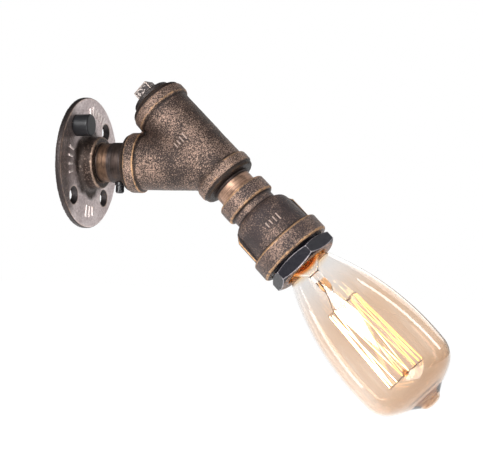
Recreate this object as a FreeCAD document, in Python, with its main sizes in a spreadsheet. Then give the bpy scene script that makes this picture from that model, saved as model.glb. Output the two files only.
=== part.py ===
"""Industrial pipe wall light: floor flange, swivelling 45 degree pipe branch, bell reducer, bulb.

Frame: millimetres, +Z up. The wall is the plane Y = 0 and the light reaches out along -Y.
The origin is the centre of the flange's back face.

Two axes carry nearly every piece, so each piece is drawn about its own local Z axis:
  the wall axis starts at the origin and runs straight out of the wall, and
  the lamp axis starts at the branch point, where both pipes cross, and runs down and outwards.
On the lamp axis a station is the distance below the branch point, so the plugged end is negative.
"""

import FreeCAD, Part
import math
import os
import re

import Sketcher

Vector = FreeCAD.Vector
Rotation = FreeCAD.Rotation
Placement = FreeCAD.Placement

# ---------------------------------------------------------------------------
# Driving dimensions: alias, value in millimetres or degrees, what it is
# ---------------------------------------------------------------------------

DRIVING = (
    # layout
    ("reach", 92.6, "wall to the branch point"),
    ("lamp_tilt", 45.0, "lamp axis below the horizontal"),
    # clearances
    ("thread_gap", 0.03, "radial gap of a made-up pipe thread"),
    ("swivel_gap", 0.05, "radial running gap of the swivel"),
    ("face_gap", 0.1, "gap between faces that turn past each other"),
    ("screw_gap", 0.05, "radial gap of the lock screw in its hole"),
    ("bulb_gap", 0.08, "radial gap of the bulb cap in the screw shell"),
    ("slip_gap", 0.15, "gap round parts that are slid in"),
    ("overrun", 1.0, "how far a cut or a foot runs past the face it meets"),
    # wall flange
    ("flange_radius", 45.0, ""),
    ("flange_plate", 3.8, "plate thickness"),
    ("hub_radius", 17.9, ""),
    ("hub_height", 13.2, "back face to hub face"),
    ("hub_fillet", 3.0, ""),
    ("hole_radius", 6.0, ""),
    ("hole_circle", 66.0, "diameter through the four holes"),
    ("hole_angle", 45.0, "first hole, from the horizontal"),
    ("plate_edge", 0.8, "bevel of the rim and the hub"),
    # screw cover
    ("cover_radius", 7.3, ""),
    ("cover_height", 11.0, ""),
    ("cover_bore", 5.4, ""),
    ("cover_top", 1.6, "thickness of the closed end"),
    ("cover_edge", 0.7, ""),
    # pipe
    ("pipe_radius", 13.35, "outside of the pipe"),
    ("pipe_bore", 10.75, ""),
    ("thread_depth", 14.0, "depth of a threaded port"),
    ("fitting_bore", 12.4, "waterway of the cast fittings"),
    ("nipple_inset", 1.5, "pipe end behind the flange's back face"),
    # swivel
    ("bare_share", 0.431, "of the length from hub to branch, bare pipe before the sleeve"),
    ("sleeve_radius", 13.8, ""),
    ("spigot_radius", 11.3, "turned-down end of the wall pipe"),
    ("spigot_lap", 11.4, "spigot inside the branch"),
    ("spigot_bore", 8.6, ""),
    ("groove_depth", 1.3, "groove for the lock screw's tip"),
    ("groove_width", 4.6, ""),
    # lock screw
    ("lock_share", 0.603, "of the sleeve's bare length, from the branch to the screw"),
    ("lock_shank", 2.0, ""),
    ("lock_collar", 3.5, ""),
    ("lock_collar_height", 2.0, ""),
    ("lock_head", 2.9, ""),
    ("lock_head_height", 5.4, ""),
    ("lock_socket", 2.5, "across the flats of its socket"),
    ("lock_socket_depth", 2.4, ""),
    ("lock_tip_bevel", 0.8, ""),
    ("lock_head_edge", 0.9, ""),
    ("spot_face", 0.5, "flat milled under the screw"),
    ("spot_margin", 0.3, "flat wider than the screw's collar"),
    # cast branch
    ("cast_radius", 18.4, "body of the branch"),
    ("band_radius", 20.4, "reinforcing band of each port"),
    ("band_width", 7.5, ""),
    ("rim_radius", 19.2, "collar outside each band"),
    ("rim_width", 2.6, ""),
    ("run_up", 59.2, "branch point to the plugged end"),
    ("run_down", 18.4, "branch point to the lamp end"),
    ("arm_length", 59.0, "branch point to the wall end"),
    ("arm_angle", 45.0, "between the two pipes"),
    ("cast_bevel", 0.9, "band edges"),
    # plug
    ("plug_collar", 14.2, ""),
    ("plug_collar_height", 4.9, ""),
    ("plug_shank", 12.0, ""),
    ("plug_bore", 8.5, ""),
    ("plug_square", 11.9, "across the flats"),
    ("plug_square_height", 8.5, ""),
    ("plug_turn", 6.6, "degrees"),
    ("plug_groove", 0.7, "depth"),
    ("plug_groove_near", 0.84, "collar face to the groove"),
    ("plug_groove_far", 1.68, ""),
    # bell reducer
    ("bell_start", 28.6, "station of its small end"),
    ("bead_radius", 17.9, ""),
    ("bead_width", 10.9, ""),
    ("neck_radius", 15.3, ""),
    ("neck_length", 5.6, ""),
    ("shoulder_height", 6.8, ""),
    ("shoulder_round", 7.6, ""),
    ("bell_radius", 21.0, "below the shoulder"),
    ("bell_flare", 22.0, "above the band"),
    ("bell_length", 18.6, ""),
    ("mouth_step", 3.4, "large band proud of the bell"),
    ("mouth_width", 12.1, ""),
    ("bell_bore", 18.2, ""),
    ("mouth_bore", 21.15, "large thread"),
    ("mouth_depth", 14.0, ""),
    ("rib_height", 1.5, "ribs proud of the bell above the band"),
    ("rib_thickness", 2.8, ""),
    ("rib_angle", 243.0, ""),
    ("rib_foot", 2.8, "neck end to the rib"),
    ("rib_inset", 1.2, "foot of the rib inside the bell's radius"),
    ("rib_crown", 1.5, "bell's shoulder to the rib's full reach"),
    ("waterway_step", 2.0, "neck end to the widening bore"),
    # hex bushing
    ("hex_flats", 43.0, "across the flats"),
    ("hex_height", 8.9, ""),
    ("hex_angle", 31.0, "turn of its corners"),
    ("hex_relief", 1.4, "plain neck behind the hexagon"),
    ("relief_radius", 20.2, ""),
    ("relief_slope", 0.6, ""),
    ("head_lap", 0.5, "relief run into the hexagon"),
    ("hex_bevel_start", 0.5, "bevel's start inside the flats"),
    ("hex_bevel_slope", 0.45, "rise over run"),
    ("opening_radius", 15.5, ""),
    ("opening_edge", 0.8, ""),
    # lampholder
    ("holder_radius", 15.2, ""),
    ("holder_collar", 20.9, "collar clamped by the bushing"),
    ("holder_collar_thickness", 2.0, ""),
    ("holder_back", 57.5, "station of its back face"),
    ("holder_floor", 61.0, "station of the contact floor"),
    ("holder_ledge", 66.0, "station of the shell's seat"),
    ("holder_setback", 2.6, "opening to the holder's rim"),
    ("floor_radius", 10.5, ""),
    ("shell_wall", 0.45, ""),
    ("shell_length", 22.6, ""),
    ("shell_lip", 9.9, "inner radius of the shell's turned-in end"),
    # contacts
    ("tongue_thickness", 0.5, ""),
    ("tongue_width", 5.0, ""),
    ("tongue_inset", 0.8, "floor's edge to the tongue"),
    ("tongue_foot", 4.2, "axis to the end of its foot"),
    ("tongue_rise", 2.6, "axis to the start of its flat"),
    ("tongue_flat", 2.8, "axis to the end of its flat"),
    ("tongue_tip", 4.8, "axis to its bent-down tip"),
    ("tongue_tip_lift", 0.9, "floor to that tip"),
    ("tongue_bend_shift", 0.35, "upper face set off at a bend"),
    ("terminal_radius", 1.5, ""),
    ("terminal_head", 2.5, ""),
    ("terminal_head_height", 2.2, ""),
    ("rivet_head", 1.75, ""),
    ("rivet_height", 0.7, ""),
    ("slot_reach", 3.0, "half length of a screwdriver slot"),
    ("slot_half", 0.35, "half its width"),
    ("slot_depth", 0.8, ""),
    ("centre_terminal_place", 6.5, ""),
    ("shell_terminal_place", 11.9, ""),
    # wires
    ("wire_radius", 1.15, "over its insulation"),
    ("wire_offset", 2.4, "from the pipe's axis"),
    ("wire_bend", 32.0, "bend where the pipes meet"),
    ("wire_tail", 5.0, "straight end at the terminal"),
    ("wire_first_bend", 5.0, ""),
    ("wire_second_bend", 10.0, ""),
    # bulb
    ("bulb_start", 64.0, "station of its centre contact"),
    ("bulb_cap_radius", 13.2, ""),
    ("bulb_cap_length", 27.3, "contact to the cap's rim"),
    ("cap_wall", 0.4, ""),
    ("button_radius", 4.8, ""),
    ("button_height", 1.0, ""),
    ("vitrite_radius", 11.4, ""),
    ("vitrite_height", 4.0, ""),
    ("vitrite_margin", 0.6, "cone wider than the button, and below the cap"),
    ("vitrite_lap", 0.4, "inside the cap"),
    ("button_slope", 1.4, ""),
    ("cap_turn_in", 0.6, "cap's slope towards its end"),
    ("cap_turn_height", 1.5, ""),
    ("glass_radius", 31.7, "where the shoulder bends in"),
    ("glass_length", 109.7, "cap's rim to the dome"),
    ("glass_wall", 0.9, ""),
    ("neck_glass", 12.5, "outside of the sealed neck"),
    ("neck_seal", 6.0, "neck inside the cap"),
    ("flare_wide", 17.2, "radius where the flare runs into the side"),
    ("flare_height", 7.5, "cap's rim to that point"),
    ("flare_round", 23.6, ""),
    ("side_round", 170.0, ""),
    ("shoulder_drop", 21.0, "dome's end back to the shoulder"),
    ("shoulder_bend", 17.0, ""),
    ("tip_radius", 7.8, "exhaust tip, at the dome"),
    ("tip_flat", 3.2, "and at its end"),
    ("tip_round", 7.0, ""),
    ("tip_height", 4.9, ""),
    ("tip_cone", 0.4, ""),
    # inside the bulb
    ("stem_radius", 3.6, ""),
    ("stem_length", 25.0, ""),
    ("stem_hollow", 7.0, "depth of its open foot"),
    ("stem_wall", 1.0, ""),
    ("press_height", 5.0, "pinched end of the stem"),
    ("rod_radius", 0.9, ""),
    ("hub_bead", 2.0, ""),
    ("cage_start", 125.5, "station of the cage's lower hooks"),
    ("cage_end", 181.5, "station of the cage's upper hooks"),
    ("cage_start_radius", 11.3, ""),
    ("cage_end_radius", 13.6, ""),
    ("cage_hooks", 8, "hooks at each end"),
    ("filament_radius", 0.35, ""),
    ("hook_radius", 0.22, ""),
    ("lead_radius", 0.3, ""),
    ("lead_spread", 4.0, "long lead outside the cage"),
)

# Worked out by the sheet itself: alias and formula
DERIVED = (
    ("port_radius", "pipe_radius + thread_gap"),
    ("arm_end", "reach - arm_length"),
    ("swivel_start", "hub_height + (arm_end - hub_height) * bare_share"),
    ("lock_place", "arm_end - (arm_end - swivel_start) * lock_share"),
    ("spigot_end", "arm_end + spigot_lap"),
    ("mouth_radius", "bell_flare + mouth_step"),
    ("rib_reach", "bell_flare + rib_height"),
    ("hub_foot", "hub_radius + hub_fillet"),
    ("swivel_bore", "spigot_radius + swivel_gap"),
    ("neck_start", "bell_start + bead_width"),
    ("shoulder_start", "neck_start + neck_length"),
    ("bell_top", "shoulder_start + shoulder_height"),
    ("mouth_start", "bell_top + bell_length"),
    ("mouth_end", "mouth_start + mouth_width"),
    ("mouth_floor", "mouth_end - mouth_depth"),
    ("hex_start", "mouth_end + hex_relief"),
    ("opening", "hex_start + hex_height"),
    ("collar_end", "mouth_floor + holder_collar_thickness"),
    ("holder_rim", "opening - holder_setback"),
    ("shell_bore", "bulb_cap_radius + bulb_gap"),
    ("shell_outside", "shell_bore + shell_wall"),
    ("holder_bore", "shell_outside + slip_gap"),
    ("cap_rim", "bulb_start + bulb_cap_length"),
    ("vitrite_end", "bulb_start + vitrite_height"),
    ("dome_end", "cap_rim + glass_length"),
    ("tip_end", "dome_end + tip_height"),
    ("flare_end", "cap_rim + flare_height"),
    ("shoulder_at", "dome_end - shoulder_drop"),
    # the dome's arc is centred on the axis and meets the shoulder's arc smoothly
    ("bend_centre", "glass_radius - shoulder_bend"),
    (
        "dome_round",
        "(shoulder_drop ^ 2 + bend_centre ^ 2 - shoulder_bend ^ 2)"
        " / (2 * (shoulder_drop - shoulder_bend))",
    ),
    ("bend_share", "shoulder_bend / (dome_round - shoulder_bend)"),
    ("inner_share", "(shoulder_bend - glass_wall) / (dome_round - shoulder_bend)"),
    ("dome_wide", "bend_centre * (1 + bend_share)"),
    ("dome_start", "shoulder_at + bend_share * (dome_round - shoulder_drop)"),
    ("inner_dome_wide", "bend_centre * (1 + inner_share)"),
    ("inner_dome_start", "shoulder_at + inner_share * (dome_round - shoulder_drop)"),
    ("tip_base", "dome_end - dome_round + sqrt(dome_round ^ 2 - tip_radius ^ 2)"),
    ("stem_flare", "neck_glass - glass_wall - thread_gap"),
    ("hex_corner", "hex_flats / sqrt(3)"),
    ("spot_level", "sleeve_radius - spot_face"),
    ("stem_end", "cap_rim + stem_length"),
)

document = FreeCAD.newDocument("PipeWallLight")
sizes = document.addObject("Spreadsheet::Sheet", "Sizes")
pieces = []


def fill_sheet():
    """Write every dimension into the sheet, with its alias beside its meaning."""
    row = 0
    for alias, number, meaning in DRIVING:
        row += 1
        sizes.set("A%d" % row, alias)
        sizes.set("B%d" % row, str(number))
        sizes.set("C%d" % row, meaning)
        sizes.setAlias("B%d" % row, alias)
    for alias, formula in DERIVED:
        row += 1
        sizes.set("A%d" % row, alias)
        sizes.set("B%d" % row, "=" + formula)
        sizes.setAlias("B%d" % row, alias)
    document.recompute()


fill_sheet()
ALIASES = {line[0] for line in DRIVING} | {line[0] for line in DERIVED}


def size(formula):
    """The present value of a formula of aliases."""
    return float(sizes.evalExpression(str(formula)))


def bound(formula):
    """The same formula, as another object's expression must spell it."""

    def spell(match):
        word = match.group()
        return "Sizes." + word if word in ALIASES else word

    return re.sub(r"[a-z_]+", spell, str(formula))


# ---------------------------------------------------------------------------
# Drawing helpers
# ---------------------------------------------------------------------------


def new_body(label):
    """An empty body, listed as a piece of the light."""
    body = document.addObject("PartDesign::Body", label)
    body.Label = label
    pieces.append(body)
    return body


def origin_feature(body, role):
    """A plane or axis of the body's own origin."""
    return next(item for item in body.Origin.OriginFeatures if item.Role == role)


def new_sketch(body, name, role, lift="0", turn="0", turn_axis=Vector(0, 0, 1)):
    """A sketch on an origin plane, lifted off it and turned by two formulas."""
    sketch = body.newObject("Sketcher::SketchObject", name)
    sketch.AttachmentSupport = [(origin_feature(body, role), "")]
    sketch.MapMode = "FlatFace"
    rotation = Rotation(turn_axis, size(turn))
    sketch.AttachmentOffset = Placement(Vector(0, 0, size(lift)), rotation)
    sketch.setExpression("AttachmentOffset.Base.z", bound(lift))
    if turn != "0":
        sketch.setExpression("AttachmentOffset.Rotation.Angle", bound(turn))
    return sketch


def place_vertex(sketch, edge, end, across, along):
    """Tie one end of an edge to its two formulas."""
    for kind, formula, on_axis in (("DistanceX", across, -2), ("DistanceY", along, -1)):
        value = size(formula)
        if abs(value) < 1e-9 and formula == "0":
            sketch.addConstraint(Sketcher.Constraint("PointOnObject", edge, end, on_axis))
            continue
        index = sketch.addConstraint(Sketcher.Constraint(kind, -1, 1, edge, end, value))
        sketch.setExpression("Constraints[%d]" % index, bound(formula))


def arc_between(start, end, radius, side):
    """The minor arc from start to end; side +1 puts its centre on the left of the way."""
    chord = end - start
    half = chord.Length / 2
    left = Vector(-chord.y, chord.x, 0).normalize()
    centre = (start + end) / 2 + left * (side * math.sqrt(max(radius**2 - half**2, 0)))
    first, last = (start, end) if side > 0 else (end, start)
    angles = [math.atan2(point.y - centre.y, point.x - centre.x) for point in (first, last)]
    return Part.ArcOfCircle(Part.Circle(centre, Vector(0, 0, 1), radius), angles[0], angles[1])


def draw_outline(sketch, outline):
    """A closed outline of (across, along) formulas.

    A corner may carry a radius formula and a side: then an arc leads on to the next corner.
    """
    spots = [Vector(size(corner[0]), size(corner[1]), 0) for corner in outline]
    ends = []
    for index, corner in enumerate(outline):
        start = spots[index]
        end = spots[(index + 1) % len(spots)]
        if len(corner) == 4:
            edge = sketch.addGeometry(arc_between(start, end, size(corner[2]), corner[3]))
            ends.append((edge, 1, 2) if corner[3] > 0 else (edge, 2, 1))
            constraint = sketch.addConstraint(Sketcher.Constraint("Radius", edge, size(corner[2])))
            sketch.setExpression("Constraints[%d]" % constraint, bound(corner[2]))
        else:
            edge = sketch.addGeometry(Part.LineSegment(start, end))
            ends.append((edge, 1, 2))
    for index, (edge, first, last) in enumerate(ends):
        follower, start_end, _ = ends[(index + 1) % len(ends)]
        sketch.addConstraint(Sketcher.Constraint("Coincident", edge, last, follower, start_end))
    for (edge, first, last), corner in zip(ends, outline):
        place_vertex(sketch, edge, first, corner[0], corner[1])


def bowed(start, end, radius, side, parts):
    """Corners from start up to end along an arc of that radius, as short straight runs.

    Side +1 bows to the right of the way, -1 to the left.
    """
    across_run = "((%s) - (%s))" % (end[0], start[0])
    along_run = "((%s) - (%s))" % (end[1], start[1])
    chord = "sqrt(%s ^ 2 + %s ^ 2)" % (across_run, along_run)
    rise = "((%s) - sqrt((%s) ^ 2 - (%s) ^ 2 / 4)) / %s" % (radius, radius, chord, chord)
    corners = [start]
    for part in range(1, parts):
        share = part / parts
        lift = side * 4 * share * (1 - share)
        across = "%s + %g * %s + %g * %s * %s" % (start[0], share, across_run, lift, rise, along_run)
        along = "%s + %g * %s - %g * %s * %s" % (start[1], share, along_run, lift, rise, across_run)
        corners.append((across, along))
    return corners


def draw_circle(sketch, across, along, radius):
    """A circle with its centre and radius tied to formulas."""
    centre = Vector(size(across), size(along), 0)
    edge = sketch.addGeometry(Part.Circle(centre, Vector(0, 0, 1), size(radius)))
    index = sketch.addConstraint(Sketcher.Constraint("Radius", edge, size(radius)))
    sketch.setExpression("Constraints[%d]" % index, bound(radius))
    place_vertex(sketch, edge, 3, across, along)


def revolve(body, name, outline, turn="0"):
    """Add a turned shape; turn tips its axis from local Z about local X."""
    sketch = new_sketch(body, name + "Profile", "XZ_Plane", turn=turn, turn_axis=Vector(1, 0, 0))
    draw_outline(sketch, outline)
    feature = body.newObject("PartDesign::Revolution", name)
    feature.Profile = sketch
    feature.ReferenceAxis = (sketch, ["V_Axis"])
    feature.Angle = 360
    document.recompute()
    return feature


def groove(body, name, outline, turn="0"):
    """Cut a turned shape, and make sure that it took something away."""
    before = body.Shape.Volume
    sketch = new_sketch(body, name + "Profile", "XZ_Plane", turn=turn, turn_axis=Vector(1, 0, 0))
    draw_outline(sketch, outline)
    feature = body.newObject("PartDesign::Groove", name)
    feature.Profile = sketch
    feature.ReferenceAxis = (sketch, ["V_Axis"])
    feature.Angle = 360
    document.recompute()
    if body.Shape.Volume >= before:
        raise ValueError(name + " cuts nothing")
    return feature


def pad(body, name, sketch, length, midplane=False):
    """Raise a sketch by a formula's length."""
    feature = body.newObject("PartDesign::Pad", name)
    feature.Profile = sketch
    feature.Length = size(length)
    feature.setExpression("Length", bound(length))
    feature.Midplane = midplane
    document.recompute()
    return feature


def pocket(body, name, sketch, depth, reversed_way=False):
    """Cut a sketch down by a formula's depth, and make sure that it took something away."""
    before = body.Shape.Volume
    feature = body.newObject("PartDesign::Pocket", name)
    feature.Profile = sketch
    feature.Length = size(depth)
    feature.setExpression("Length", bound(depth))
    feature.Reversed = reversed_way
    document.recompute()
    if body.Shape.Volume >= before:
        raise ValueError(name + " cuts nothing")
    return feature


def ring_names(feature, rings):
    """Names of the circular edges round local Z with these (radius, station) formulas."""
    names = []
    for radius, station in rings:
        for index, edge in enumerate(feature.Shape.Edges):
            curve = edge.Curve
            if not isinstance(curve, Part.Circle):
                continue
            off_axis = math.hypot(curve.Center.x, curve.Center.y)
            same_radius = abs(curve.Radius - size(radius)) < 1e-4
            if same_radius and off_axis < 1e-4 and abs(curve.Center.z - size(station)) < 1e-4:
                names.append("Edge%d" % (index + 1))
    return names


def round_rings(body, name, rings, radius, kind="PartDesign::Fillet"):
    """Round or chamfer circular edges of the body's last feature."""
    base = body.Tip
    names = ring_names(base, rings)
    if len(names) < len(rings):
        raise ValueError(name + " finds %d of %d edges" % (len(names), len(rings)))
    feature = body.newObject(kind, name)
    feature.Base = (base, names)
    item = "Radius" if kind.endswith("Fillet") else "Size"
    setattr(feature, item, size(radius))
    feature.setExpression(item, bound(radius))
    document.recompute()
    if "Invalid" in feature.State:
        raise ValueError(name + " fails")
    return feature


def chamfer_rings(body, name, rings, width):
    """Chamfer circular edges of the body's last feature."""
    return round_rings(body, name, rings, width, "PartDesign::Chamfer")


def stand_on_wall_axis(piece):
    """Local Z runs straight out of the wall, local Y is up."""
    piece.Placement = Placement(Vector(0, 0, 0), Rotation(Vector(1, 0, 0), 90))


def stand_on_lamp_axis(piece):
    """Local Z runs down the lamp axis, from the branch point."""
    turn = Rotation(Vector(1, 0, 0), 90 + size("lamp_tilt"))
    piece.Placement = Placement(Vector(0, -size("reach"), 0), turn)
    piece.setExpression("Placement.Base.y", bound("-reach"))
    piece.setExpression("Placement.Rotation.Angle", bound("90 + lamp_tilt"))


def tube_outline(radius, bore, start, end):
    """The section of a plain tube."""
    return [(bore, start), (radius, start), (radius, end), (bore, end)]


# ---------------------------------------------------------------------------
# Wall side
# ---------------------------------------------------------------------------


def make_wall_flange():
    """Cast floor flange: round plate, threaded hub and four screw holes."""
    body = new_body("wall_flange")
    foot_top = "flange_plate + hub_fillet"
    revolve(body, "Casting", [
        ("port_radius", "0"),
        ("flange_radius", "0"),
        ("flange_radius", "flange_plate"),
    ] + bowed(("hub_foot", "flange_plate"), ("hub_radius", foot_top), "hub_fillet", -1, 4) + [
        ("hub_radius", foot_top),
        ("hub_radius", "hub_height"),
        ("port_radius", "hub_height"),
    ])
    holes = new_sketch(body, "ScrewHole", "XY_Plane")
    across = "hole_circle / 2 * cos(hole_angle * 1deg)"
    along = "hole_circle / 2 * sin(hole_angle * 1deg)"
    draw_circle(holes, across, along, "hole_radius")
    hole = pocket(body, "ScrewHoleCut", holes, "flange_plate + overrun", reversed_way=True)
    pattern = body.newObject("PartDesign::PolarPattern", "ScrewHoles")
    pattern.Originals = [hole]
    pattern.Axis = (origin_feature(body, "Z_Axis"), [""])
    pattern.Angle = 360
    pattern.Occurrences = 4
    body.Tip = pattern
    document.recompute()
    outer_edges = [("hub_radius", "hub_height"), ("flange_radius", "flange_plate")]
    chamfer_rings(body, "OuterEdges", outer_edges, "plate_edge")
    stand_on_wall_axis(body)


def make_hole_cover():
    """Black push-on cover over the upper left screw hole, hollow, seated on the plate."""
    body = new_body("hole_cover")
    revolve(body, "Cup", [
        ("0", "cover_height - cover_top"),
        ("cover_bore", "cover_height - cover_top"),
        ("cover_bore", "0"),
        ("cover_radius", "0"),
        ("cover_radius", "cover_height"),
        ("0", "cover_height"),
    ])
    chamfer_rings(body, "CoverEdge", [("cover_radius", "cover_height")], "cover_edge")
    stand_on_wall_axis(body)
    body.setExpression("Placement.Base.x", bound("-hole_circle / 2 * cos(hole_angle * 1deg)"))
    body.setExpression("Placement.Base.y", bound("-flange_plate"))
    body.setExpression("Placement.Base.z", bound("hole_circle / 2 * sin(hole_angle * 1deg)"))


def make_wall_nipple():
    """Pipe screwed into the flange, turned down at its end into the swivel's spigot."""
    body = new_body("wall_nipple")
    revolve(body, "Pipe", [
        ("spigot_bore", "nipple_inset"),
        ("pipe_radius", "nipple_inset"),
        ("pipe_radius", "swivel_start - face_gap"),
        ("spigot_radius", "swivel_start - face_gap"),
        ("spigot_radius", "spigot_end"),
        ("spigot_bore", "spigot_end"),
    ])
    groove(body, "TipGroove", [
        ("spigot_radius - groove_depth", "lock_place - groove_width / 2"),
        ("spigot_radius + overrun", "lock_place - groove_width / 2"),
        ("spigot_radius + overrun", "lock_place + groove_width / 2"),
        ("spigot_radius - groove_depth", "lock_place + groove_width / 2"),
    ])
    stand_on_wall_axis(body)


def make_swivel_sleeve():
    """Sleeve screwed into the branch, turning on the spigot; the lock screw goes through it."""
    body = new_body("swivel_sleeve")
    revolve(body, "Sleeve", [
        ("swivel_bore", "swivel_start"),
        ("sleeve_radius", "swivel_start"),
        ("sleeve_radius", "arm_end"),
        ("pipe_radius", "arm_end"),
        ("pipe_radius", "arm_end + thread_depth"),
        ("swivel_bore", "arm_end + thread_depth"),
    ])
    flat = new_sketch(body, "SpotFace", "XZ_Plane", lift="spot_level")
    draw_circle(flat, "0", "lock_place", "lock_collar + spot_margin")
    pocket(body, "SpotFaceCut", flat, "spot_face + overrun", reversed_way=True)
    drill = new_sketch(body, "ScrewHole", "XZ_Plane")
    draw_circle(drill, "0", "lock_place", "lock_shank + screw_gap")
    pocket(body, "ScrewHoleCut", drill, "sleeve_radius + overrun", reversed_way=True)
    stand_on_wall_axis(body)


def make_lock_screw():
    """Black lock screw under the swivel: tip, shank, collar and rounded head with a socket."""
    body = new_body("lock_screw")
    tip = "spigot_radius - groove_depth + face_gap"
    head_start = "spot_level + face_gap + lock_collar_height"
    head_end = head_start + " + lock_head_height"
    revolve(body, "Screw", [
        ("0", tip),
        ("lock_shank - lock_tip_bevel", tip),
        ("lock_shank", tip + " + lock_tip_bevel"),
        ("lock_shank", "spot_level + face_gap"),
        ("lock_collar", "spot_level + face_gap"),
        ("lock_collar", head_start),
        ("lock_head", head_start),
        ("lock_head", head_end),
        ("0", head_end),
    ])
    chamfer_rings(body, "HeadEdge", [("lock_head", head_end)], "lock_head_edge")
    socket = new_sketch(body, "Socket", "XY_Plane", lift=head_end)
    draw_polygon(socket, 6, "lock_socket / sqrt(3)", "0")
    pocket(body, "SocketCut", socket, "lock_socket_depth")
    body.Placement = Placement(Vector(0, -size("lock_place"), 0), Rotation(Vector(1, 0, 0), 180))
    body.setExpression("Placement.Base.y", bound("-lock_place"))


def draw_polygon(sketch, corners, radius, turn):
    """A regular polygon round the sketch's origin."""
    outline = []
    for index in range(corners):
        angle = "(%s + %g) * 1deg" % (turn, index * 360 / corners)
        outline.append(("(%s) * cos(%s)" % (radius, angle), "(%s) * sin(%s)" % (radius, angle)))
    draw_outline(sketch, outline)


# ---------------------------------------------------------------------------
# Cast branch, its plug and the lamp-side pipe
# ---------------------------------------------------------------------------


def port_outline(end, way):
    """Outside of a banded port, from its end inwards; way is + or - towards the body."""
    rim = "%s %s rim_width" % (end, way)
    band = "%s %s band_width" % (rim, way)
    return [
        ("0", end),
        ("rim_radius", end),
        ("rim_radius", rim),
        ("band_radius", rim),
        ("band_radius", band),
        ("cast_radius", band),
    ]


def port_rings(end, way):
    """Edges of a banded port that are rounded."""
    rim = "%s %s rim_width" % (end, way)
    band = "%s %s band_width" % (rim, way)
    return [("rim_radius", end), ("band_radius", rim), ("band_radius", band)]


def make_y_branch():
    """Cast 45 degree branch: run along the lamp axis, arm towards the wall, three banded ports."""
    body = new_body("y_branch")
    upper = port_outline("-run_up", "+")
    lower = port_outline("run_down", "-")
    revolve(body, "Run", upper + lower[::-1])
    chamfer_rings(
        body, "RunBands", port_rings("-run_up", "+") + port_rings("run_down", "-"), "cast_bevel"
    )
    arm = port_outline("arm_length", "-") + [("cast_radius", "0"), ("0", "0")]
    revolve(body, "Arm", arm, turn="180 - arm_angle")
    groove(body, "RunWaterway", [
        ("0", "-run_up - overrun"),
        ("port_radius", "-run_up - overrun"),
        ("port_radius", "-run_up + thread_depth"),
        ("fitting_bore", "-run_up + thread_depth"),
        ("fitting_bore", "run_down - thread_depth"),
        ("port_radius", "run_down - thread_depth"),
        ("port_radius", "run_down + overrun"),
        ("0", "run_down + overrun"),
    ])
    groove(body, "ArmWaterway", [
        ("0", "0"),
        ("fitting_bore", "0"),
        ("fitting_bore", "arm_length - thread_depth"),
        ("port_radius", "arm_length - thread_depth"),
        ("port_radius", "arm_length + overrun"),
        ("0", "arm_length + overrun"),
    ], turn="180 - arm_angle")
    stand_on_lamp_axis(body)


def make_square_plug():
    """Square-headed plug that closes the upper port, hollow behind."""
    body = new_body("square_plug")
    collar_end = "-run_up - plug_collar_height"
    revolve(body, "Plug", [
        ("0", collar_end),
        ("plug_collar", collar_end),
        ("plug_collar", "-run_up - plug_groove_far"),
        ("plug_collar - plug_groove", "-run_up - plug_groove_far"),
        ("plug_collar - plug_groove", "-run_up - plug_groove_near"),
        ("plug_collar", "-run_up - plug_groove_near"),
        ("plug_collar", "-run_up"),
        ("pipe_radius", "-run_up"),
        ("pipe_radius", "-run_up + plug_shank"),
        ("plug_bore", "-run_up + plug_shank"),
        ("plug_bore", "-run_up"),
        ("0", "-run_up"),
    ])
    chamfer_rings(body, "CollarEdge", [("plug_collar", collar_end)], "plug_groove")
    top = collar_end + " - plug_square_height"
    square = new_sketch(body, "Square", "XY_Plane", lift=top)
    draw_polygon(square, 4, "plug_square / sqrt(2)", "plug_turn + 45")
    pad(body, "SquareHead", square, "plug_square_height + overrun")
    stand_on_lamp_axis(body)


def make_lamp_nipple():
    """Short pipe between the branch and the bell reducer, seated in both ports."""
    body = new_body("lamp_nipple")
    start = "run_down - thread_depth"
    end = "bell_start + thread_depth"
    revolve(body, "Pipe", tube_outline("pipe_radius", "pipe_bore", start, end))
    stand_on_lamp_axis(body)


# ---------------------------------------------------------------------------
# Bell reducer and hex bushing
# ---------------------------------------------------------------------------


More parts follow.
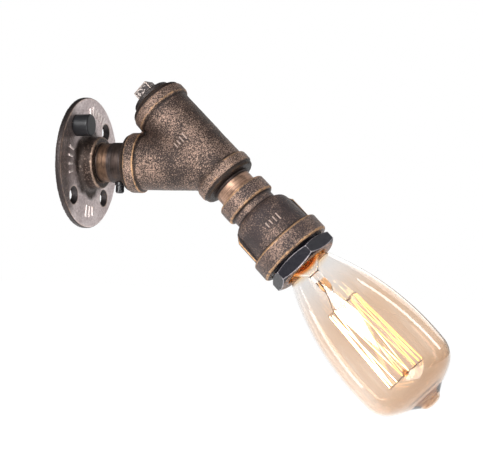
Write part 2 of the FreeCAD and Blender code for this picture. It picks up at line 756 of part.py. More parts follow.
def make_bell_reducer():
    """Cast reducing coupling: small bead, neck, bell with two ribs, large band."""
    body = new_body("bell_reducer")
    shoulder_end = ("bell_radius", "bell_top")
    revolve(body, "Outside", [
        ("0", "bell_start"),
        ("bead_radius", "bell_start"),
        ("bead_radius", "neck_start"),
        ("neck_radius", "neck_start"),
    ] + bowed(("neck_radius", "shoulder_start"), shoulder_end, "shoulder_round", +1, 5) + [
        shoulder_end,
        ("bell_flare", "mouth_start"),
        ("mouth_radius", "mouth_start"),
        ("mouth_radius", "mouth_end"),
        ("0", "mouth_end"),
    ])
    chamfer_rings(
        body,
        "BandEdges",
        [
            ("bead_radius", "bell_start"),
            ("bead_radius", "neck_start"),
            ("mouth_radius", "mouth_start"),
            ("mouth_radius", "mouth_end"),
        ],
        "cast_bevel",
    )
    rib_sketch = new_sketch(
        body, "RibProfile", "XZ_Plane", turn="rib_angle", turn_axis=Vector(0, 1, 0)
    )
    draw_outline(rib_sketch, [
        ("bell_bore + overrun", "shoulder_start + rib_foot"),
        ("bell_radius - rib_inset", "shoulder_start + rib_foot"),
        ("rib_reach", "bell_top + rib_crown"),
        ("rib_reach", "mouth_start + overrun"),
        ("bell_bore + overrun", "mouth_start + overrun"),
    ])
    rib = pad(body, "Rib", rib_sketch, "rib_thickness", midplane=True)
    pattern = body.newObject("PartDesign::PolarPattern", "Ribs")
    pattern.Originals = [rib]
    pattern.Axis = (origin_feature(body, "Z_Axis"), [""])
    pattern.Angle = 360
    pattern.Occurrences = 2
    body.Tip = pattern
    document.recompute()
    groove(body, "Waterway", [
        ("0", "bell_start - overrun"),
        ("port_radius", "bell_start - overrun"),
        ("port_radius", "bell_start + thread_depth"),
        ("fitting_bore", "bell_start + thread_depth"),
        ("fitting_bore", "shoulder_start + waterway_step"),
        ("bell_bore", "bell_top"),
        ("bell_bore", "mouth_floor"),
        ("mouth_bore", "mouth_floor"),
        ("mouth_bore", "mouth_end + overrun"),
        ("0", "mouth_end + overrun"),
    ])
    stand_on_lamp_axis(body)


def make_hex_bushing():
    """Hexagon bushing screwed into the bell; it clamps the lampholder's collar."""
    body = new_body("hex_bushing")
    shank_radius = "mouth_bore - thread_gap"
    revolve(body, "Shank", [
        ("opening_radius", "collar_end"),
        (shank_radius, "collar_end"),
        (shank_radius, "mouth_end - relief_slope"),
        ("relief_radius", "mouth_end"),
        ("relief_radius", "hex_start + head_lap"),
        ("opening_radius", "hex_start + head_lap"),
    ])
    hexagon = new_sketch(body, "Hexagon", "XY_Plane", lift="hex_start")
    draw_polygon(hexagon, 6, "hex_corner", "hex_angle")
    draw_circle(hexagon, "0", "0", "opening_radius")
    pad(body, "HexHead", hexagon, "hex_height")
    slope = "(hex_corner - hex_flats / 2 + hex_bevel_start) * hex_bevel_slope"
    groove(body, "OuterBevel", [
        ("hex_flats / 2 - hex_bevel_start", "opening"),
        ("hex_corner + overrun", "opening"),
        ("hex_corner + overrun", "opening - " + slope),
        ("hex_corner", "opening - " + slope),
    ])
    groove(body, "InnerBevel", [
        ("hex_flats / 2 - hex_bevel_start", "hex_start"),
        ("hex_corner + overrun", "hex_start"),
        ("hex_corner + overrun", "hex_start + " + slope),
        ("hex_corner", "hex_start + " + slope),
    ])
    chamfer_rings(body, "OpeningEdge", [("opening_radius", "opening")], "opening_edge")
    stand_on_lamp_axis(body)


# ---------------------------------------------------------------------------
# Lampholder
# ---------------------------------------------------------------------------


def terminal_hole(body, name, place):
    """A hole through the holder's floor for one terminal."""
    sketch = new_sketch(body, name, "XY_Plane", lift="holder_ledge + overrun")
    draw_circle(sketch, place, "0", "terminal_radius + slip_gap")
    pocket(body, name + "Cut", sketch, "holder_ledge - holder_back + 2 * overrun")


def make_lampholder():
    """Porcelain lampholder body, held by its collar between bell and bushing."""
    body = new_body("lampholder")
    revolve(body, "Porcelain", [
        ("0", "holder_back"),
        ("holder_radius", "holder_back"),
        ("holder_radius", "mouth_floor"),
        ("holder_collar", "mouth_floor"),
        ("holder_collar", "collar_end"),
        ("holder_radius", "collar_end"),
        ("holder_radius", "holder_rim"),
        ("holder_bore", "holder_rim"),
        ("holder_bore", "holder_ledge"),
        ("floor_radius", "holder_ledge"),
        ("floor_radius", "holder_floor"),
        ("0", "holder_floor"),
    ])
    terminal_hole(body, "CentreTerminalHole", "-centre_terminal_place")
    terminal_hole(body, "ShellTerminalHole", "shell_terminal_place")
    stand_on_lamp_axis(body)


def make_screw_shell():
    """Brass screw shell in the holder, with its end turned in over the ledge."""
    body = new_body("screw_shell")
    revolve(body, "Shell", [
        ("shell_lip", "holder_ledge"),
        ("shell_outside", "holder_ledge"),
        ("shell_outside", "holder_ledge + shell_length"),
        ("shell_bore", "holder_ledge + shell_length"),
        ("shell_bore", "holder_ledge + shell_wall"),
        ("shell_lip", "holder_ledge + shell_wall"),
    ])
    stand_on_lamp_axis(body)


def make_contact_tongue():
    """Sprung centre contact: a foot on the floor, a rise and a flat under the bulb's contact."""
    body = new_body("contact_tongue")
    top = "bulb_start - face_gap"
    tip = "holder_floor + tongue_tip_lift"
    sketch = new_sketch(body, "Strip", "XZ_Plane")
    draw_outline(sketch, [
        ("-floor_radius + tongue_inset", "holder_floor"),
        ("-tongue_foot", "holder_floor"),
        ("-tongue_rise", top + " - tongue_thickness"),
        ("tongue_flat", top + " - tongue_thickness"),
        ("tongue_tip", tip),
        ("tongue_tip + tongue_thickness", tip + " + tongue_thickness / 2"),
        ("tongue_flat + tongue_bend_shift", top),
        ("-tongue_rise - tongue_bend_shift", top),
        ("-tongue_foot - tongue_bend_shift", "holder_floor + tongue_thickness"),
        ("-floor_radius + tongue_inset", "holder_floor + tongue_thickness"),
    ])
    pad(body, "Tongue", sketch, "tongue_width", midplane=True)
    hole = new_sketch(body, "RivetHole", "XY_Plane", lift="holder_floor + tongue_thickness + overrun")
    draw_circle(hole, "-centre_terminal_place", "0", "terminal_radius + thread_gap")
    pocket(body, "RivetHoleCut", hole, "tongue_thickness + 2 * overrun")
    stand_on_lamp_axis(body)


def make_terminal(label, place, inner_end, with_head):
    """Terminal through the floor: screw head behind, shank, and a rivet head inside if asked."""
    body = new_body(label)
    back = "holder_back - terminal_head_height"
    outline = [
        ("0", back),
        ("terminal_head", back),
        ("terminal_head", "holder_back"),
        ("terminal_radius", "holder_back"),
        ("terminal_radius", inner_end),
    ]
    if with_head:
        head_end = inner_end + " + rivet_height"
        outline += [("rivet_head", inner_end), ("rivet_head", head_end), ("0", head_end)]
    else:
        outline += [("0", inner_end)]
    revolve(body, "Shank", outline)
    slot = new_sketch(body, "Slot", "XY_Plane", lift=back)
    draw_outline(slot, [
        ("-slot_reach", "-slot_half"),
        ("slot_reach", "-slot_half"),
        ("slot_reach", "slot_half"),
        ("-slot_reach", "slot_half"),
    ])
    pocket(body, "SlotCut", slot, "slot_depth", reversed_way=True)
    stand_on_lamp_axis(body)
    body.setExpression("Placement.Base.x", bound(place))


# ---------------------------------------------------------------------------
# Wires inside the pipes
# ---------------------------------------------------------------------------


def rounded_path(points, radii):
    """Straight runs joined by tangent arcs, one radius for each inner point."""
    edges = []
    start = points[0]
    for before, corner, after, radius in zip(points, points[1:], points[2:], radii):
        back = (before - corner).normalize()
        on = (after - corner).normalize()
        half_turn = (math.pi - back.getAngle(on)) / 2
        trim = radius * math.tan(half_turn)
        bisector = (back + on).normalize()
        centre = corner + bisector * (radius / math.cos(half_turn))
        arc_start = corner + back * trim
        arc_end = corner + on * trim
        edges.append(Part.LineSegment(start, arc_start).toShape())
        edges.append(Part.Arc(arc_start, centre - bisector * radius, arc_end).toShape())
        start = arc_end
    edges.append(Part.LineSegment(start, points[-1]).toShape())
    return Part.Wire(edges)


def polygon_ring(centre, radius, sides):
    """A closed regular polygon across local Z."""
    corners = []
    for index in range(sides):
        angle = 2 * math.pi * index / sides
        corners.append(centre + Vector(radius * math.cos(angle), radius * math.sin(angle), 0))
    return Part.makePolygon(corners + corners[:1])


def make_wire(label, side, terminal_place):
    """One insulated wire from its terminal, through both pipes, to the wall."""
    offset = side * size("wire_offset")
    arm = math.radians(size("arm_angle"))
    back = size("holder_back - terminal_head_height")
    arm_way = Vector(0, -math.sin(arm), -math.cos(arm))
    points = [
        Vector(side * size(terminal_place), 0, back),
        Vector(side * size(terminal_place), 0, back - size("wire_tail")),
        Vector(offset, 0, size("bell_start + thread_depth / 2")),
        Vector(offset, 0, 0),
        Vector(offset, 0, 0) + arm_way * size("reach"),
    ]
    radii = [size("wire_first_bend"), size("wire_second_bend"), size("wire_bend")]
    path = rounded_path(points, radii)
    ring = polygon_ring(points[0], size("wire_radius"), 6)
    tube = path.makePipeShell([ring], True, False)
    feature = document.addObject("Part::Feature", label)
    feature.Label = label
    feature.Shape = tube
    stand_on_lamp_axis(feature)
    pieces.append(feature)
    expected = Part.Face(ring).Area * path.Length
    if abs(tube.Volume / expected - 1) > 0.01:
        raise ValueError(label + " is swept wrongly")


# ---------------------------------------------------------------------------
# Bulb
# ---------------------------------------------------------------------------


def make_bulb_cap():
    """Brass cap of the bulb, open above and turned in below."""
    body = new_body("bulb_cap")
    inner = "bulb_cap_radius - cap_wall"
    revolve(body, "Shell", [
        ("vitrite_radius", "vitrite_end - cap_wall"),
        ("bulb_cap_radius - cap_turn_in", "vitrite_end - cap_wall"),
        ("bulb_cap_radius", "vitrite_end + cap_turn_height"),
        ("bulb_cap_radius", "cap_rim"),
        (inner, "cap_rim"),
        (inner, "vitrite_end + cap_turn_height"),
        (inner + " - cap_turn_in", "vitrite_end"),
        ("vitrite_radius", "vitrite_end"),
    ])
    stand_on_lamp_axis(body)


def make_cap_insulator():
    """Black glass between the cap and its centre contact."""
    body = new_body("cap_insulator")
    revolve(body, "Cone", [
        ("0", "bulb_start + button_height"),
        ("button_radius + vitrite_margin", "bulb_start + button_height"),
        ("vitrite_radius", "vitrite_end - cap_wall - vitrite_margin"),
        ("vitrite_radius", "vitrite_end + vitrite_lap"),
        ("0", "vitrite_end + vitrite_lap"),
    ])
    stand_on_lamp_axis(body)


def make_cap_contact():
    """Solder button at the bulb's end."""
    body = new_body("cap_contact")
    revolve(body, "Button", [
        ("0", "bulb_start"),
        ("button_radius - button_slope", "bulb_start"),
        ("button_radius", "bulb_start + button_height"),
        ("0", "bulb_start + button_height"),
    ])
    stand_on_lamp_axis(body)


def make_bulb_glass():
    """Blown glass envelope, one wall thick: neck, flare, long side, shoulder, dome and tip."""
    body = new_body("bulb_glass")
    corners = [
        ("neck_glass", "cap_rim"),
        ("flare_wide", "flare_end"),
        ("glass_radius", "shoulder_at"),
        ("dome_wide", "dome_start"),
        ("tip_radius", "tip_base"),
        ("tip_flat", "tip_end - tip_cone"),
    ]
    rounds = ["flare_round", "side_round", "shoulder_bend", "dome_round", "tip_round"]
    outside = []
    for start, end, radius, parts in zip(corners, corners[1:], rounds, (2, 8, 5, 3, 3)):
        outside += bowed(start, end, radius, +1, parts)
    outside.append(corners[-1])
    corners = [
        ("0", "dome_end - glass_wall"),
        ("inner_dome_wide", "inner_dome_start"),
        ("glass_radius - glass_wall", "shoulder_at"),
        ("flare_wide - glass_wall", "flare_end + glass_wall / 2"),
        ("neck_glass - glass_wall", "cap_rim"),
    ]
    rounds = ["dome_round", "shoulder_bend", "side_round", "flare_round"]
    inside = []
    for start, end, radius, parts in zip(corners, corners[1:], rounds, (4, 4, 8, 2)):
        inside += bowed(start, end, radius, -1, parts)
    inside.append(corners[-1])
    revolve(body, "Envelope", [
        ("neck_glass", "cap_rim - neck_seal"),
    ] + outside + [
        ("0", "tip_end"),
    ] + inside + [
        ("neck_glass - glass_wall", "cap_rim - neck_seal"),
    ])
    stand_on_lamp_axis(body)


def make_glass_stem():
    """Glass stem: flare sealed into the neck, tube, flattened press and centre rod with beads."""
    body = new_body("glass_stem")
    press = "stem_end - press_height"
    revolve(body, "Stem", [
        ("0", "cap_rim + stem_hollow"),
        ("stem_radius - stem_wall", "cap_rim + stem_hollow"),
        ("stem_flare - stem_wall", "cap_rim - stem_wall"),
        ("stem_flare", "cap_rim - stem_wall"),
        ("stem_flare", "cap_rim"),
        ("stem_radius", "cap_rim + stem_hollow + stem_wall"),
        ("stem_radius", press),
        ("rod_radius", "stem_end"),
        ("rod_radius", "cage_start - hub_bead"),
        ("hub_bead", "cage_start"),
        ("rod_radius", "cage_start + hub_bead"),
        ("rod_radius", "cage_end - hub_bead"),
        ("hub_bead", "cage_end"),
        ("0", "cage_end + hub_bead"),
    ])
    stand_on_lamp_axis(body)


def rod_between(start, end, radius):
    """A thin six-sided rod from start to end."""
    way = end - start
    turn = Rotation(Vector(0, 0, 1), way)
    corners = []
    for index in range(6):
        angle = math.radians(60 * index)
        spoke = Vector(radius * math.cos(angle), radius * math.sin(angle), 0)
        corners.append(start + turn.multVec(spoke))
    return Part.Face(Part.makePolygon(corners + corners[:1])).extrude(way)


def bent_rod(points, radius):
    """Rods through the points, each run on past its bends by its own radius, as one solid."""
    rods = []
    for start, end in zip(points, points[1:]):
        lap = (end - start).normalize() * radius
        rods.append(rod_between(start - lap, end + lap, radius))
    return rods[0].fuse(rods[1:]).removeSplitter()


def cage_point(step, at_end, grow=0.0):
    """A hook of the filament cage; the two ends' hooks lie half a step apart."""
    end = "end" if at_end else "start"
    angle = 2 * math.pi * (step + (0 if at_end else 0.5)) / size("cage_hooks")
    radius = size("cage_%s_radius" % end) + grow
    return Vector(radius * math.cos(angle), radius * math.sin(angle), size("cage_" + end))


def make_filament():
    """Squirrel-cage filament: one wire zigzagging between the two rings of hooks."""
    hooks = int(size("cage_hooks"))
    points = []
    for step in range(hooks):
        points.append(cage_point(step, True))
        if step < hooks - 1:
            points.append(cage_point(step, False))
    points = [cage_point(-1, False)] + points
    feature = document.addObject("Part::Feature", "filament")
    feature.Label = "filament"
    feature.Shape = bent_rod(points, size("filament_radius"))
    stand_on_lamp_axis(feature)
    pieces.append(feature)


def make_filament_hooks():
    """Support wires from the two beads of the centre rod to the filament's bends."""
    hooks = int(size("cage_hooks"))
    inset = size("filament_radius") + size("slip_gap")
    bead = size("hub_bead")
    wires = []
    for at_end in (False, True):
        station = size("cage_end" if at_end else "cage_start")
        centre = Vector(0, 0, station)
        for step in range(hooks):
            if not at_end and step == hooks - 1:
                continue
            tip = cage_point(step, at_end, grow=-inset)
            way = (tip - centre).normalize()
            wires.append(rod_between(centre + way * bead, tip, size("hook_radius")))
    feature = document.addObject("Part::Feature", "filament_hooks")
    feature.Label = "filament_hooks"
    feature.Shape = Part.makeCompound(wires)
    stand_on_lamp_axis(feature)
    pieces.append(feature)


def make_lead_wires():
    """Two lead-in wires from the stem's press to the filament's two ends."""
    press = size("stem_end - press_height")
    side = size("stem_radius") + size("lead_radius") + size("slip_gap")
    first = cage_point(-1, False)
    last = cage_point(int(size("cage_hooks")) - 1, True)
    gap = 2 * (size("filament_radius") + size("lead_radius")) + size("slip_gap")
    first_way = Vector(first.x, first.y, 0).normalize()
    last_way = Vector(last.x, last.y, 0).normalize()
    first_end = first - Vector(0, 0, gap)
    last_end = last + last_way * gap
    low = size("cage_start")
    leads = [
        bent_rod([first_way * side + Vector(0, 0, press), first_end], size("lead_radius")),
        bent_rod(
            [
                last_way * side + Vector(0, 0, press),
                last_way * (size("cage_start_radius + lead_spread")) + Vector(0, 0, low),
                last_end,
            ],
            size("lead_radius"),
        ),
    ]
    feature = document.addObject("Part::Feature", "lead_wires")
    feature.Label = "lead_wires"
    feature.Shape = Part.makeCompound(leads)
    stand_on_lamp_axis(feature)
    pieces.append(feature)


# ---------------------------------------------------------------------------
# Build, check and write
# ---------------------------------------------------------------------------


def build():
    """Make every piece."""
    make_wall_flange()
    make_hole_cover()
    make_wall_nipple()
    make_swivel_sleeve()
    make_lock_screw()
    make_y_branch()
    make_square_plug()
    make_lamp_nipple()
    make_bell_reducer()
    make_hex_bushing()
    make_lampholder()
    make_screw_shell()
    make_contact_tongue()
    tongue_top = "holder_floor + tongue_thickness"
    make_terminal("centre_terminal", "-centre_terminal_place", tongue_top, with_head=True)
    make_terminal("shell_terminal", "shell_terminal_place", "holder_ledge", with_head=False)
    make_wire("live_wire", -1, "centre_terminal_place")
    make_wire("neutral_wire", +1, "shell_terminal_place")
    make_bulb_cap()
    make_cap_insulator()
    make_cap_contact()
    make_bulb_glass()
    make_glass_stem()
    make_lead_wires()
    make_filament_hooks()
    make_filament()
    document.recompute()


def check():
    """Stop on any failed object, or on a piece whose shape is missing or invalid."""
    for item in document.Objects:
        if "Invalid" in item.State or "Error" in item.State:
            raise ValueError("failed object: " + item.Label)
    for piece in pieces:
        if piece.Shape.isNull() or not piece.Shape.isValid() or not piece.Shape.Solids:
            raise ValueError("bad shape: " + piece.Label)


def write():
    """Write each piece, where it stands, to its own file."""
    os.makedirs("parts", exist_ok=True)
    for piece in pieces:
        piece.Shape.exportStep("parts/%s.step" % piece.Label)
        print(piece.Label, len(piece.Shape.Solids), "solids, %.0f mm3" % piece.Shape.Volume)


build()
check()
write()
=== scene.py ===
from math import atan2, ceil, cos, hypot, pi, radians, sin, sqrt

import bmesh
import bpy
import numpy as np
from mathutils import Matrix, Vector, noise


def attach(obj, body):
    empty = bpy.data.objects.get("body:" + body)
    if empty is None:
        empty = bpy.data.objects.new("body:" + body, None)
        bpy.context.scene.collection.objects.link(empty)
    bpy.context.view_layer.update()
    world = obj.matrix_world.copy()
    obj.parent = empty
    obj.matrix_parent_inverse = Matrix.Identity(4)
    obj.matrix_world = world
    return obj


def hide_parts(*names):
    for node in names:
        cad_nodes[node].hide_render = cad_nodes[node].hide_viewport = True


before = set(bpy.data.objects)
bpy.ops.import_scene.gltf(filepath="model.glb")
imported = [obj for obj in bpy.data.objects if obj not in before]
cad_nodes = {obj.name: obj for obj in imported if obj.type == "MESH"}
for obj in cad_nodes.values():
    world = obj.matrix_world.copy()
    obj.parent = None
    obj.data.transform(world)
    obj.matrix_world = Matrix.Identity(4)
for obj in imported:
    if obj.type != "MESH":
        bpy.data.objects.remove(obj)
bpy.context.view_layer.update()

# ---- The axes and sizes of the light, as in the CAD model; lengths not in metres are in millimetres ----

MM = 0.001
REACH = 92.6 * MM
QUARTER_TURN = radians(90)
LAMP_TILT = radians(45)
# local Z runs out of the wall
WALL_AXIS = Matrix.Rotation(QUARTER_TURN, 4, "X")
# local Z runs down the lamp axis from the branch point
LAMP_AXIS = Matrix.Translation((0, -REACH, 0)) @ Matrix.Rotation(QUARTER_TURN + LAMP_TILT, 4, "X")

PLATE = 3.8
FLANGE_RADIUS = 45.0
# each screw hole lies this far across and up from the flange's centre
HOLE_OFFSET = 33 * sqrt(0.5)
PIPE_RADIUS = 13.35

# ---- Mesh helpers ----


def add_object(name, data):
    """A scene object for a mesh, a curve, a lamp or a camera."""
    made = bpy.data.objects.new(name, data)
    bpy.context.scene.collection.objects.link(made)
    return made


def shade_smooth(mesh):
    """Smooth shading all over."""
    mesh.polygons.foreach_set("use_smooth", [True] * len(mesh.polygons))


def clean(mesh, merge=0.0, thin=0.0, outward=True):
    """Merge points and drop collapsed faces within these distances, and turn the faces out."""
    work = bmesh.new()
    work.from_mesh(mesh)
    if merge:
        bmesh.ops.remove_doubles(work, verts=work.verts, dist=merge)
    if thin:
        bmesh.ops.dissolve_degenerate(work, edges=work.edges, dist=thin)
    if outward:
        bmesh.ops.recalc_face_normals(work, faces=work.faces)
    work.to_mesh(mesh)
    work.free()
    shade_smooth(mesh)


def baked_mesh(source, name):
    """An object's evaluated shape as a plain mesh; the object and its modifiers are removed."""
    bpy.context.view_layer.update()
    graph = bpy.context.evaluated_depsgraph_get()
    mesh = bpy.data.meshes.new_from_object(source.evaluated_get(graph))
    mesh.name = name
    source.modifiers.clear()
    bpy.data.objects.remove(source)
    return mesh


def lathe(name, profile, axis, sides, wobble=None):
    """A closed turned mesh from a closed profile of (radius, station)."""
    points = []
    faces = []
    count = len(profile)
    for step in range(sides):
        angle = 2 * pi * step / sides
        for radius, station in profile:
            if wobble:
                radius = wobble(radius, station, angle)
            local = Vector((radius * cos(angle), radius * sin(angle), station)) * MM
            points.append(tuple(axis @ local))
    for step in range(sides):
        here = step * count
        there = ((step + 1) % sides) * count
        for index in range(count):
            following = (index + 1) % count
            if profile[index][0] == 0 and profile[following][0] == 0:
                continue
            faces.append((here + index, there + index, there + following, here + following))
    mesh = bpy.data.meshes.new(name)
    mesh.from_pydata(points, [], faces)
    clean(mesh, merge=1e-7, thin=1e-8)
    return add_object(name, mesh)


def finer(profile, step):
    """The closed profile with points added so that no run is longer than step."""
    result = []
    for (r0, s0), (r1, s1) in zip(profile, profile[1:] + profile[:1]):
        parts = max(1, ceil(hypot(r1 - r0, s1 - s0) / step))
        for part in range(parts):
            share = part / parts
            result.append((r0 + (r1 - r0) * share, s0 + (s1 - s0) * share))
    return result


def rounded(profile, radius, steps=4):
    """The closed profile with each corner off the axis rounded."""
    result = []
    count = len(profile)
    for index, corner in enumerate(profile):
        if corner[0] == 0:
            result.append(corner)
            continue
        here = Vector(corner)
        before = Vector(profile[index - 1]) - here
        after = Vector(profile[(index + 1) % count]) - here
        cut = min(radius, before.length * 0.45, after.length * 0.45)
        start = here + before.normalized() * cut
        end = here + after.normalized() * cut
        for part in range(steps + 1):
            share = part / steps
            point = start * (1 - share) ** 2 + here * 2 * share * (1 - share) + end * share**2
            result.append((point.x, point.y))
    return result


def neighbour_mean(values, edges, degree):
    """The mean of each point's neighbours."""
    total = np.zeros_like(values)
    np.add.at(total, edges[:, 0], values[edges[:, 1]])
    np.add.at(total, edges[:, 1], values[edges[:, 0]])
    return total / degree.reshape((-1,) + (1,) * (values.ndim - 1))


def read_points(mesh):
    """Points, edges and the number of neighbours as arrays."""
    points = np.zeros(len(mesh.vertices) * 3)
    mesh.vertices.foreach_get("co", points)
    edges = np.zeros(len(mesh.edges) * 2, dtype=np.int64)
    mesh.edges.foreach_get("vertices", edges)
    edges = edges.reshape(-1, 2)
    degree = np.bincount(edges.ravel(), minlength=len(mesh.vertices)).astype(float)
    return points.reshape(-1, 3), edges, np.maximum(degree, 1)


def read_normals(mesh):
    """The point normals as an array, read at once because each read after a move is slow."""
    normals = np.zeros(len(mesh.vertices) * 3)
    mesh.vertices.foreach_get("normal", normals)
    return normals.reshape(-1, 3)


def write_points(mesh, points):
    """Move the mesh's points."""
    mesh.vertices.foreach_set("co", points.ravel())
    mesh.update()


BEND_PASSES = 3
BEND_LIMIT = 4


def write_bend(mesh):
    """Store how sharply the surface bends: wear on outer edges, hollow in inner ones."""
    points, edges, degree = read_points(mesh)
    pull = neighbour_mean(points, edges, degree) - points
    spacing = np.linalg.norm(points[edges[:, 0]] - points[edges[:, 1]], axis=1).mean()
    bend = -(pull * read_normals(mesh)).sum(axis=1) * 4 / spacing**2 * MM
    for _ in range(BEND_PASSES):
        bend = 0.5 * bend + 0.5 * neighbour_mean(bend, edges, degree)
    for label, values in (("wear", bend), ("hollow", -bend)):
        layer = mesh.attributes.new(label, "FLOAT", "POINT")
        layer.data.foreach_set("value", np.clip(values, 0, BEND_LIMIT).astype(np.float32))


def cast_skin(name, node, voxel, smoothing, shape=None):
    """A finer skin over a CAD node: softened edges, its own shape changes and its edge values."""
    source = cad_nodes[node].data.copy()
    clean(source, merge=1e-6, outward=False)
    rough = add_object(name + "_rough", source)
    remesh = rough.modifiers.new("Skin", "REMESH")
    remesh.mode = "VOXEL"
    remesh.voxel_size = voxel * MM
    soften = rough.modifiers.new("Soften", "SMOOTH")
    soften.factor = 0.5
    soften.iterations = smoothing
    mesh = baked_mesh(rough, name)
    if shape:
        shape(mesh)
    shade_smooth(mesh)
    write_bend(mesh)
    piece = add_object(name, mesh)
    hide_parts(node)
    return piece


# ---- Material helpers ----

NODE_STEP = 190
NODE_DROP = 40


class NodeNet:
    """Adds nodes to a tree, left to right, and joins them by name."""

    def __init__(self, tree):
        self.tree = tree
        self.column = 0

    def node(self, kind, inputs=None, **settings):
        """A node with its settings; inputs are given by name or place, as a value or a link."""
        made = self.tree.nodes.new(kind)
        self.column += 1
        made.location = (self.column * NODE_STEP, -NODE_DROP * (self.column % 7))
        for label, value in settings.items():
            setattr(made, label, value)
        for label, value in (inputs or {}).items():
            self.feed(made.inputs[label], value)
        return made

    def out(self, kind, inputs=None, **settings):
        """The first output of a new node."""
        return self.node(kind, inputs, **settings).outputs[0]

    def feed(self, socket, value):
        """Set a socket's value, or link another node's output to it."""
        if isinstance(value, bpy.types.NodeSocket):
            self.tree.links.new(value, socket)
        elif isinstance(value, tuple) and len(value) == 3 and socket.type == "RGBA":
            socket.default_value = (*value, 1)
        else:
            socket.default_value = value

    def give(self, node, **inputs):
        """Feed a node's inputs; spaces in their names are written as underscores."""
        for label, value in inputs.items():
            self.feed(node.inputs[label.replace("_", " ")], value)

    def math(self, operation, *values):
        """A Math node's output."""
        return self.out("ShaderNodeMath", dict(enumerate(values)), operation=operation)

    def times(self, first, second):
        return self.math("MULTIPLY", first, second)

    def plus(self, first, second):
        return self.math("ADD", first, second)

    def minus(self, first, second):
        return self.math("SUBTRACT", first, second)

    def most(self, first, second):
        return self.math("MAXIMUM", first, second)

    def span(self, value, low, high, to_low=0.0, to_high=1.0):
        """A smooth step of value from low to high."""
        ends = {"Value": value, "From Min": low, "From Max": high, "To Min": to_low, "To Max": to_high}
        return self.node("ShaderNodeMapRange", ends, interpolation_type="SMOOTHSTEP").outputs["Result"]

    def ramp(self, value, low, high):
        """A smooth step of a length from low to high."""
        return self.span(value, low * MM, high * MM)

    def band(self, value, start, end, soft, soft_end=None):
        """1 where a length lies between start and end, with soft ends."""
        soft_end = soft_end or soft
        rise = self.ramp(value, start - soft, start + soft)
        return self.times(rise, self.ramp(value, end + soft_end, end - soft_end))

    def mix(self, share, first, second):
        """A mix of two colours."""
        sockets = {0: share, 6: first, 7: second}
        return self.node("ShaderNodeMix", sockets, data_type="RGBA").outputs[2]

    def layers(self, base, *coats):
        """Colours laid over a base, each as (mask, share, colour)."""
        for mask, share, colour in coats:
            base = self.mix(self.times(mask, share), base, colour)
        return base

    def noise(self, vector, scale, detail=2.0, roughness=0.5):
        """A noise texture's value; scale is in cycles for each metre."""
        values = {"Vector": vector, "Scale": scale, "Detail": detail, "Roughness": roughness}
        return self.node("ShaderNodeTexNoise", values).outputs["Fac"]

    def attribute(self, label):
        """A stored edge value of the mesh."""
        return self.node("ShaderNodeAttribute", attribute_name=label).outputs["Fac"]

    def parts(self, vector):
        """The three parts of a vector."""
        return self.node("ShaderNodeSeparateXYZ", {0: vector}).outputs

    def vector(self, x=0.0, y=0.0, z=0.0):
        """A vector from its three parts."""
        return self.out("ShaderNodeCombineXYZ", {0: x, 1: y, 2: z})


def scaled(colour, factor):
    """A colour made darker or lighter."""
    return tuple(factor * part for part in colour)


FLOAT = "NodeSocketFloat"


def new_group(name, inputs, outputs):
    """A shader group with a Vector input and the given value inputs and outputs."""
    tree = bpy.data.node_groups.new(name, "ShaderNodeTree")
    tree.interface.new_socket("Vector", in_out="INPUT", socket_type="NodeSocketVector")
    for label in inputs:
        tree.interface.new_socket(label, in_out="INPUT", socket_type=FLOAT)
    for label in outputs:
        tree.interface.new_socket(label, in_out="OUTPUT", socket_type=FLOAT)
    net = NodeNet(tree)
    return net, net.node("NodeGroupInput").outputs, net.node("NodeGroupOutput")


def make_sponged_group():
    """Copper sponged over a dark cast ground: the speckle mask and its height."""
    inputs = ("Grain mm", "Cover", "Patchiness")
    net, given, sink = new_group("sponged_speckle", inputs, ("Mask", "Height"))
    frequency = net.math("DIVIDE", 560.0, given["Grain mm"])
    spots = net.noise(given["Vector"], frequency, 3.0, 0.62)
    fine = net.noise(given["Vector"], net.times(frequency, 2.6), 2.0, 0.6)
    both = net.plus(net.times(spots, 0.7), net.times(fine, 0.3))
    patch = net.noise(given["Vector"], 62.0)
    drift = net.times(net.minus(patch, 0.5), given["Patchiness"])
    level = net.minus(0.66, net.times(given["Cover"], 0.28))
    level = net.minus(level, drift)
    mask = net.span(both, net.minus(level, 0.045), net.plus(level, 0.065))
    net.give(sink, Mask=mask, Height=both)
    return net.tree


def make_rubbed_group():
    """Edge wear: the mesh's outer edges, broken up by noise."""
    net, given, sink = new_group("rubbed_edge", ("Wear", "Start", "Full", "Break"), ("Mask",))
    slow = net.noise(given["Vector"], 120.0)
    quick = net.noise(given["Vector"], 700.0, 3.0, 0.6)
    shift = net.minus(net.plus(slow, quick), 1.0)
    shift = net.times(shift, given["Break"])
    worn = net.plus(given["Wear"], net.times(shift, 1.6))
    mask = net.span(worn, given["Start"], given["Full"])
    touched = net.span(given["Wear"], 0.04, 0.22)
    net.give(sink, Mask=net.times(mask, touched))
    return net.tree


def make_streak_group():
    """Fine turned streaks round an axis: the vector is squeezed along that axis first."""
    net, given, sink = new_group("turned_streaks", ("Lines", "Along"), ("Value",))
    parts = net.parts(given["Vector"])
    stretched = net.vector(
        net.times(parts[0], given["Along"]),
        net.times(parts[1], given["Along"]),
        net.times(parts[2], given["Lines"]),
    )
    net.give(sink, Value=net.noise(stretched, 1.0, 3.0, 0.6))
    return net.tree


SPONGED = make_sponged_group()
RUBBED = make_rubbed_group()
STREAKS = make_streak_group()


def emptied(owner):
    """A node net on the emptied tree of a material or a world."""
    owner.use_nodes = True
    owner.node_tree.nodes.clear()
    return NodeNet(owner.node_tree)


